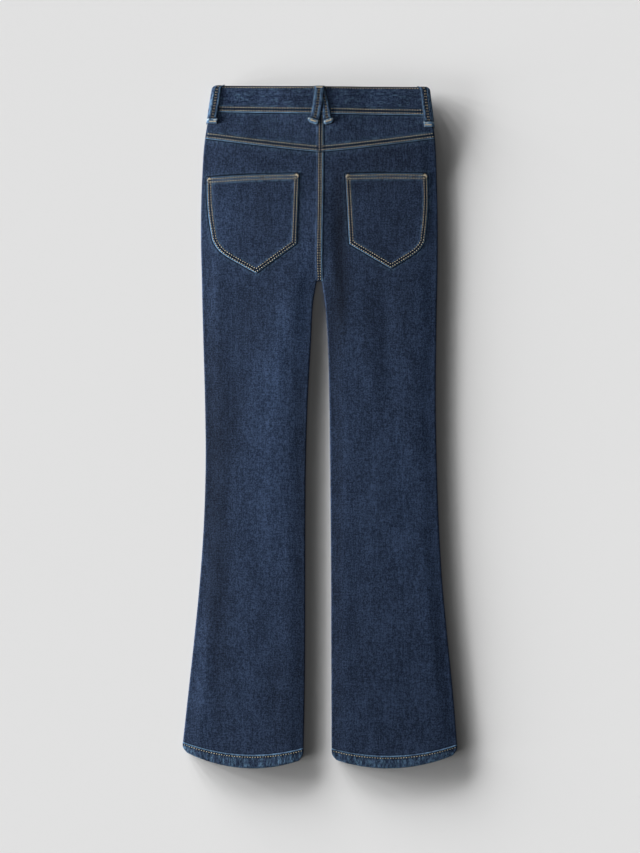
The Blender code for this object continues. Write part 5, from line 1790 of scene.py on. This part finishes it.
def light_stage(stage):
    """Soft lights from the upper left, some for the floor and some for the jeans, and a faint fill."""
    for number, row in enumerate(SHADOW_LIGHTS):
        low = named(row, SHADOW_COLUMNS)
        strength = stage.floor_light * math.pi * low["share"] / math.sin(math.radians(low["elevation"]))
        light = lamp(f"low_light_{number}", "SUN", low["azimuth"], low["elevation"], strength, "floor_only",
                     shaded_by="shades_floor")
        light.angle = math.radians(low["spread"])
    key = lamp("key_light", "AREA", stage.key_azimuth, stage.key_elevation, stage.key_power, "jeans",
               stage.key_distance)
    key.size = stage.key_size
    soft = lamp("overhead_light", "SUN", stage.key_azimuth, OVERHEAD_ELEVATION, stage.overhead_strength,
                "jeans")
    soft.angle = math.radians(OVERHEAD_SPREAD)
    world = bpy.data.worlds.new("studio")
    world.use_nodes = True
    background = world.node_tree.nodes["Background"]
    background.inputs["Color"].default_value = (1.0, 1.0, 1.0, 1.0)
    background.inputs["Strength"].default_value = stage.fill_strength
    bpy.context.scene.world = world


def build_camera(stage):
    """Camera straight above the garment."""
    data = bpy.data.cameras.new("camera")
    data.lens = stage.lens
    data.sensor_width = 36.0
    data.clip_start, data.clip_end = 0.05, 50.0
    camera = bpy.data.objects.new("camera", data)
    camera.location = (stage.camera_x, stage.camera_y, stage.camera_height)
    bpy.context.scene.collection.objects.link(camera)
    bpy.context.scene.camera = camera
    bpy.context.scene.view_settings.view_transform = "Standard"


# ---------------------------------------------------------------- add-on

def number(name, description, default, **settings):
    return bpy.props.FloatProperty(name=name, description=description, default=default, **settings)


def length(name, description, default, precision=2):
    return number(name, description, default, unit="LENGTH", precision=precision)


def colour_property(name, description, default):
    return bpy.props.FloatVectorProperty(
        name=name, description=description, default=default, subtype="COLOR", size=3, min=0.0, max=1.0)


class JeansSizes(bpy.types.PropertyGroup):
    cloth_step: length("Cloth step", "Distance between the points of a panel", 2.6 * MM, 4)
    denim_ply: length("Denim", "Thickness of one ply", 1.0 * MM, 4)
    stitch_pitch: length("Stitch pitch", "Length from one stitch to the next", 3.7 * MM, 4)
    stitch_share: number("Stitch share", "Part of the pitch that each stitch covers", 0.45, subtype="FACTOR")
    thread_radius: length("Thread radius", "Half the thickness of the sewing thread", 0.46 * MM, 5)
    tack_pitch: length("Tack pitch", "Distance between the strands of a bar tack", 0.55 * MM, 5)


class JeansColours(bpy.types.PropertyGroup):
    denim_dark: colour_property("Denim, dark", "Warp yarns with the most dye", (0.0046, 0.0103, 0.0275))
    denim_light: colour_property("Denim, light", "Warp yarns with the least dye", (0.0365, 0.0600, 0.1210))
    worn: colour_property("Worn", "Edges whose dye has rubbed off", (0.125, 0.235, 0.365))
    bare: colour_property("Bare", "Undyed weft that shows on the loops' feet", (0.42, 0.47, 0.48))
    # Seam shadow is painted shade: the colour that the denim is darkened to along lines of painted shade and
    # rows of stitches
    seam_shadow: colour_property("Seam shadow", "Unwashed dye beside the seams", (0.0035, 0.008, 0.019))
    thread: colour_property("Thread", "Topstitching", (0.68, 0.60, 0.43))
    thread_tack: colour_property("Tack thread", "Bar tacks", (0.43, 0.37, 0.27))
    brass: colour_property("Brass", "Button and zip teeth", (0.45, 0.33, 0.17))
    tape: colour_property("Tape", "Zip tape", (0.02, 0.03, 0.06))


class JeansStage(bpy.types.PropertyGroup):
    floor_size: length("Floor", "Side of the floor", 12.0)
    floor_colour: colour_property("Floor colour", "Matt studio floor", (0.74, 0.74, 0.74))
    floor_light: number("Floor light", "Brightness of the floor in the low lights", 1.0)
    key_azimuth: number("Key azimuth", "Where the key light comes from, in degrees from +X towards +Y", 176.0)
    key_elevation: number("Key elevation", "Height of the key light in degrees", 11.0)
    key_distance: length("Key distance", "Distance of the key light", 1.3)
    key_power: number("Key power", "Power of the key light in W", 54.0)
    key_size: length("Key size", "Side of the key light", 0.35)
    overhead_strength: number("Overhead", "Strength of the soft light from above", 0.75)
    fill_strength: number("Fill", "Strength of the light from all round", 0.06)
    lens: number("Lens", "Focal length in mm", 100.0)
    camera_x: length("Camera x", "Sideways place", 0.36 * MM, 5)
    camera_y: length("Camera y", "Place along the garment", 0.57 * MM, 5)
    camera_height: length("Camera height", "Height above the floor", 3.4025, 5)


def both_sides(build, name, node_name, sizes):
    """Make the left and the right piece, each standing for the node of its own side."""
    for side, word in SIDES:
        build(side, f"{name}_{word}", f"{node_name}_{word}", sizes)


class JEANS_OT_back_legs(bpy.types.Operator):
    """Make the two back legs"""
    bl_idname = "jeans.back_legs"
    bl_label = "Back legs"

    def execute(self, context):
        both_sides(build_back_leg, "back_leg", "back", context.scene.jeans_sizes)
        return {"FINISHED"}


class JEANS_OT_yokes(bpy.types.Operator):
    """Make the two back yokes"""
    bl_idname = "jeans.yokes"
    bl_label = "Back yokes"

    def execute(self, context):
        both_sides(build_yoke, "back_yoke", "yoke", context.scene.jeans_sizes)
        return {"FINISHED"}


class JEANS_OT_front_legs(bpy.types.Operator):
    """Make the two front legs"""
    bl_idname = "jeans.front_legs"
    bl_label = "Front legs"

    def execute(self, context):
        both_sides(build_front_leg, "front_leg", "front", context.scene.jeans_sizes)
        return {"FINISHED"}


class JEANS_OT_waistband(bpy.types.Operator):
    """Make the waistband"""
    bl_idname = "jeans.waistband"
    bl_label = "Waistband"

    def execute(self, context):
        build_waistband("waist_band")
        return {"FINISHED"}


class JEANS_OT_pockets(bpy.types.Operator):
    """Make the two patch pockets"""
    bl_idname = "jeans.pockets"
    bl_label = "Back pockets"

    def execute(self, context):
        both_sides(build_pocket, "patch_pocket", "pocket", context.scene.jeans_sizes)
        return {"FINISHED"}


class JEANS_OT_hems(bpy.types.Operator):
    """Make the two turned-up hems"""
    bl_idname = "jeans.hems"
    bl_label = "Hems"

    def execute(self, context):
        both_sides(build_hem, "turned_hem", "hem", context.scene.jeans_sizes)
        return {"FINISHED"}


class JEANS_OT_belt_loops(bpy.types.Operator):
    """Make the six belt loops"""
    bl_idname = "jeans.belt_loops"
    bl_label = "Belt loops"

    def execute(self, context):
        build_loops()
        return {"FINISHED"}


class JEANS_OT_closure(bpy.types.Operator):
    """Make the tack button, its buttonhole stitches and the zip"""
    bl_idname = "jeans.closure"
    bl_label = "Button and zip"

    def execute(self, context):
        sizes = context.scene.jeans_sizes
        build_button("tack_button")
        eyelet_ring(sizes)
        build_zip()
        return {"FINISHED"}


class JEANS_OT_topstitching(bpy.types.Operator):
    """Sew every row of topstitching"""
    bl_idname = "jeans.topstitching"
    bl_label = "Topstitching"

    def execute(self, context):
        sizes = context.scene.jeans_sizes
        topstitch("stitches_yokes", yoke_rows(), sizes)
        topstitch("stitches_centre_seam", centre_rows(), sizes)
        topstitch("stitches_waistband", band_rows(), sizes)
        topstitch("stitches_pockets", pocket_rows(), sizes)
        topstitch("stitches_hems", hem_rows(), sizes)
        topstitch("stitches_fly", fly_rows(), sizes)
        centre, tangent, across, out = loop_paths(sizes)
        length = np.full(len(centre), sizes.stitch_pitch * sizes.stitch_share)
        mesh = stitch_mesh("stitches_loops", centre, tangent, across, out, length, 0.6 * sizes.thread_radius)
        piece("stitches_loops", mesh, thread_for("thread_tack"))
        return {"FINISHED"}


class JEANS_OT_bar_tacks(bpy.types.Operator):
    """Sew the bar tacks at the pockets' mouths and the loops' feet"""
    bl_idname = "jeans.bar_tacks"
    bl_label = "Bar tacks"

    def execute(self, context):
        tacked("bar_tacks_back", bar_tacks(), context.scene.jeans_sizes)
        return {"FINISHED"}


class JEANS_OT_stage(bpy.types.Operator):
    """Make the floor, the lights and the camera"""
    bl_idname = "jeans.stage"
    bl_label = "Stage"

    def execute(self, context):
        build_floor(context.scene.jeans_stage)
        light_stage(context.scene.jeans_stage)
        build_camera(context.scene.jeans_stage)
        return {"FINISHED"}


OPERATORS = (
    JEANS_OT_stage, JEANS_OT_front_legs, JEANS_OT_back_legs, JEANS_OT_yokes, JEANS_OT_waistband,
    JEANS_OT_pockets, JEANS_OT_hems, JEANS_OT_belt_loops, JEANS_OT_closure, JEANS_OT_topstitching,
    JEANS_OT_bar_tacks,
)


class JEANS_PT_sidebar(bpy.types.Panel):
    """Sidebar panel with one button for each part of the jeans"""
    bl_idname = "JEANS_PT_sidebar"
    bl_label = "Bootcut jeans"
    bl_space_type = "VIEW_3D"
    bl_region_type = "UI"
    bl_category = "Jeans"

    def draw(self, context):
        for operator in OPERATORS:
            self.layout.operator(operator.bl_idname)


CLASSES = (JeansSizes, JeansColours, JeansStage, *OPERATORS, JEANS_PT_sidebar)


def register():
    for made in CLASSES:
        bpy.utils.register_class(made)
    bpy.types.Scene.jeans_sizes = bpy.props.PointerProperty(type=JeansSizes)
    bpy.types.Scene.jeans_colours = bpy.props.PointerProperty(type=JeansColours)
    bpy.types.Scene.jeans_stage = bpy.props.PointerProperty(type=JeansStage)


def unregister():
    del bpy.types.Scene.jeans_sizes
    del bpy.types.Scene.jeans_colours
    del bpy.types.Scene.jeans_stage
    for made in reversed(CLASSES):
        bpy.utils.unregister_class(made)


def main():
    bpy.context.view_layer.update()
    register()
    bpy.ops.jeans.stage()
    bpy.ops.jeans.front_legs()
    bpy.ops.jeans.back_legs()
    bpy.ops.jeans.yokes()
    bpy.ops.jeans.waistband()
    bpy.ops.jeans.pockets()
    bpy.ops.jeans.hems()
    bpy.ops.jeans.belt_loops()
    bpy.ops.jeans.closure()
    bpy.ops.jeans.topstitching()
    bpy.ops.jeans.bar_tacks()


if __name__ == "__main__":
    main()
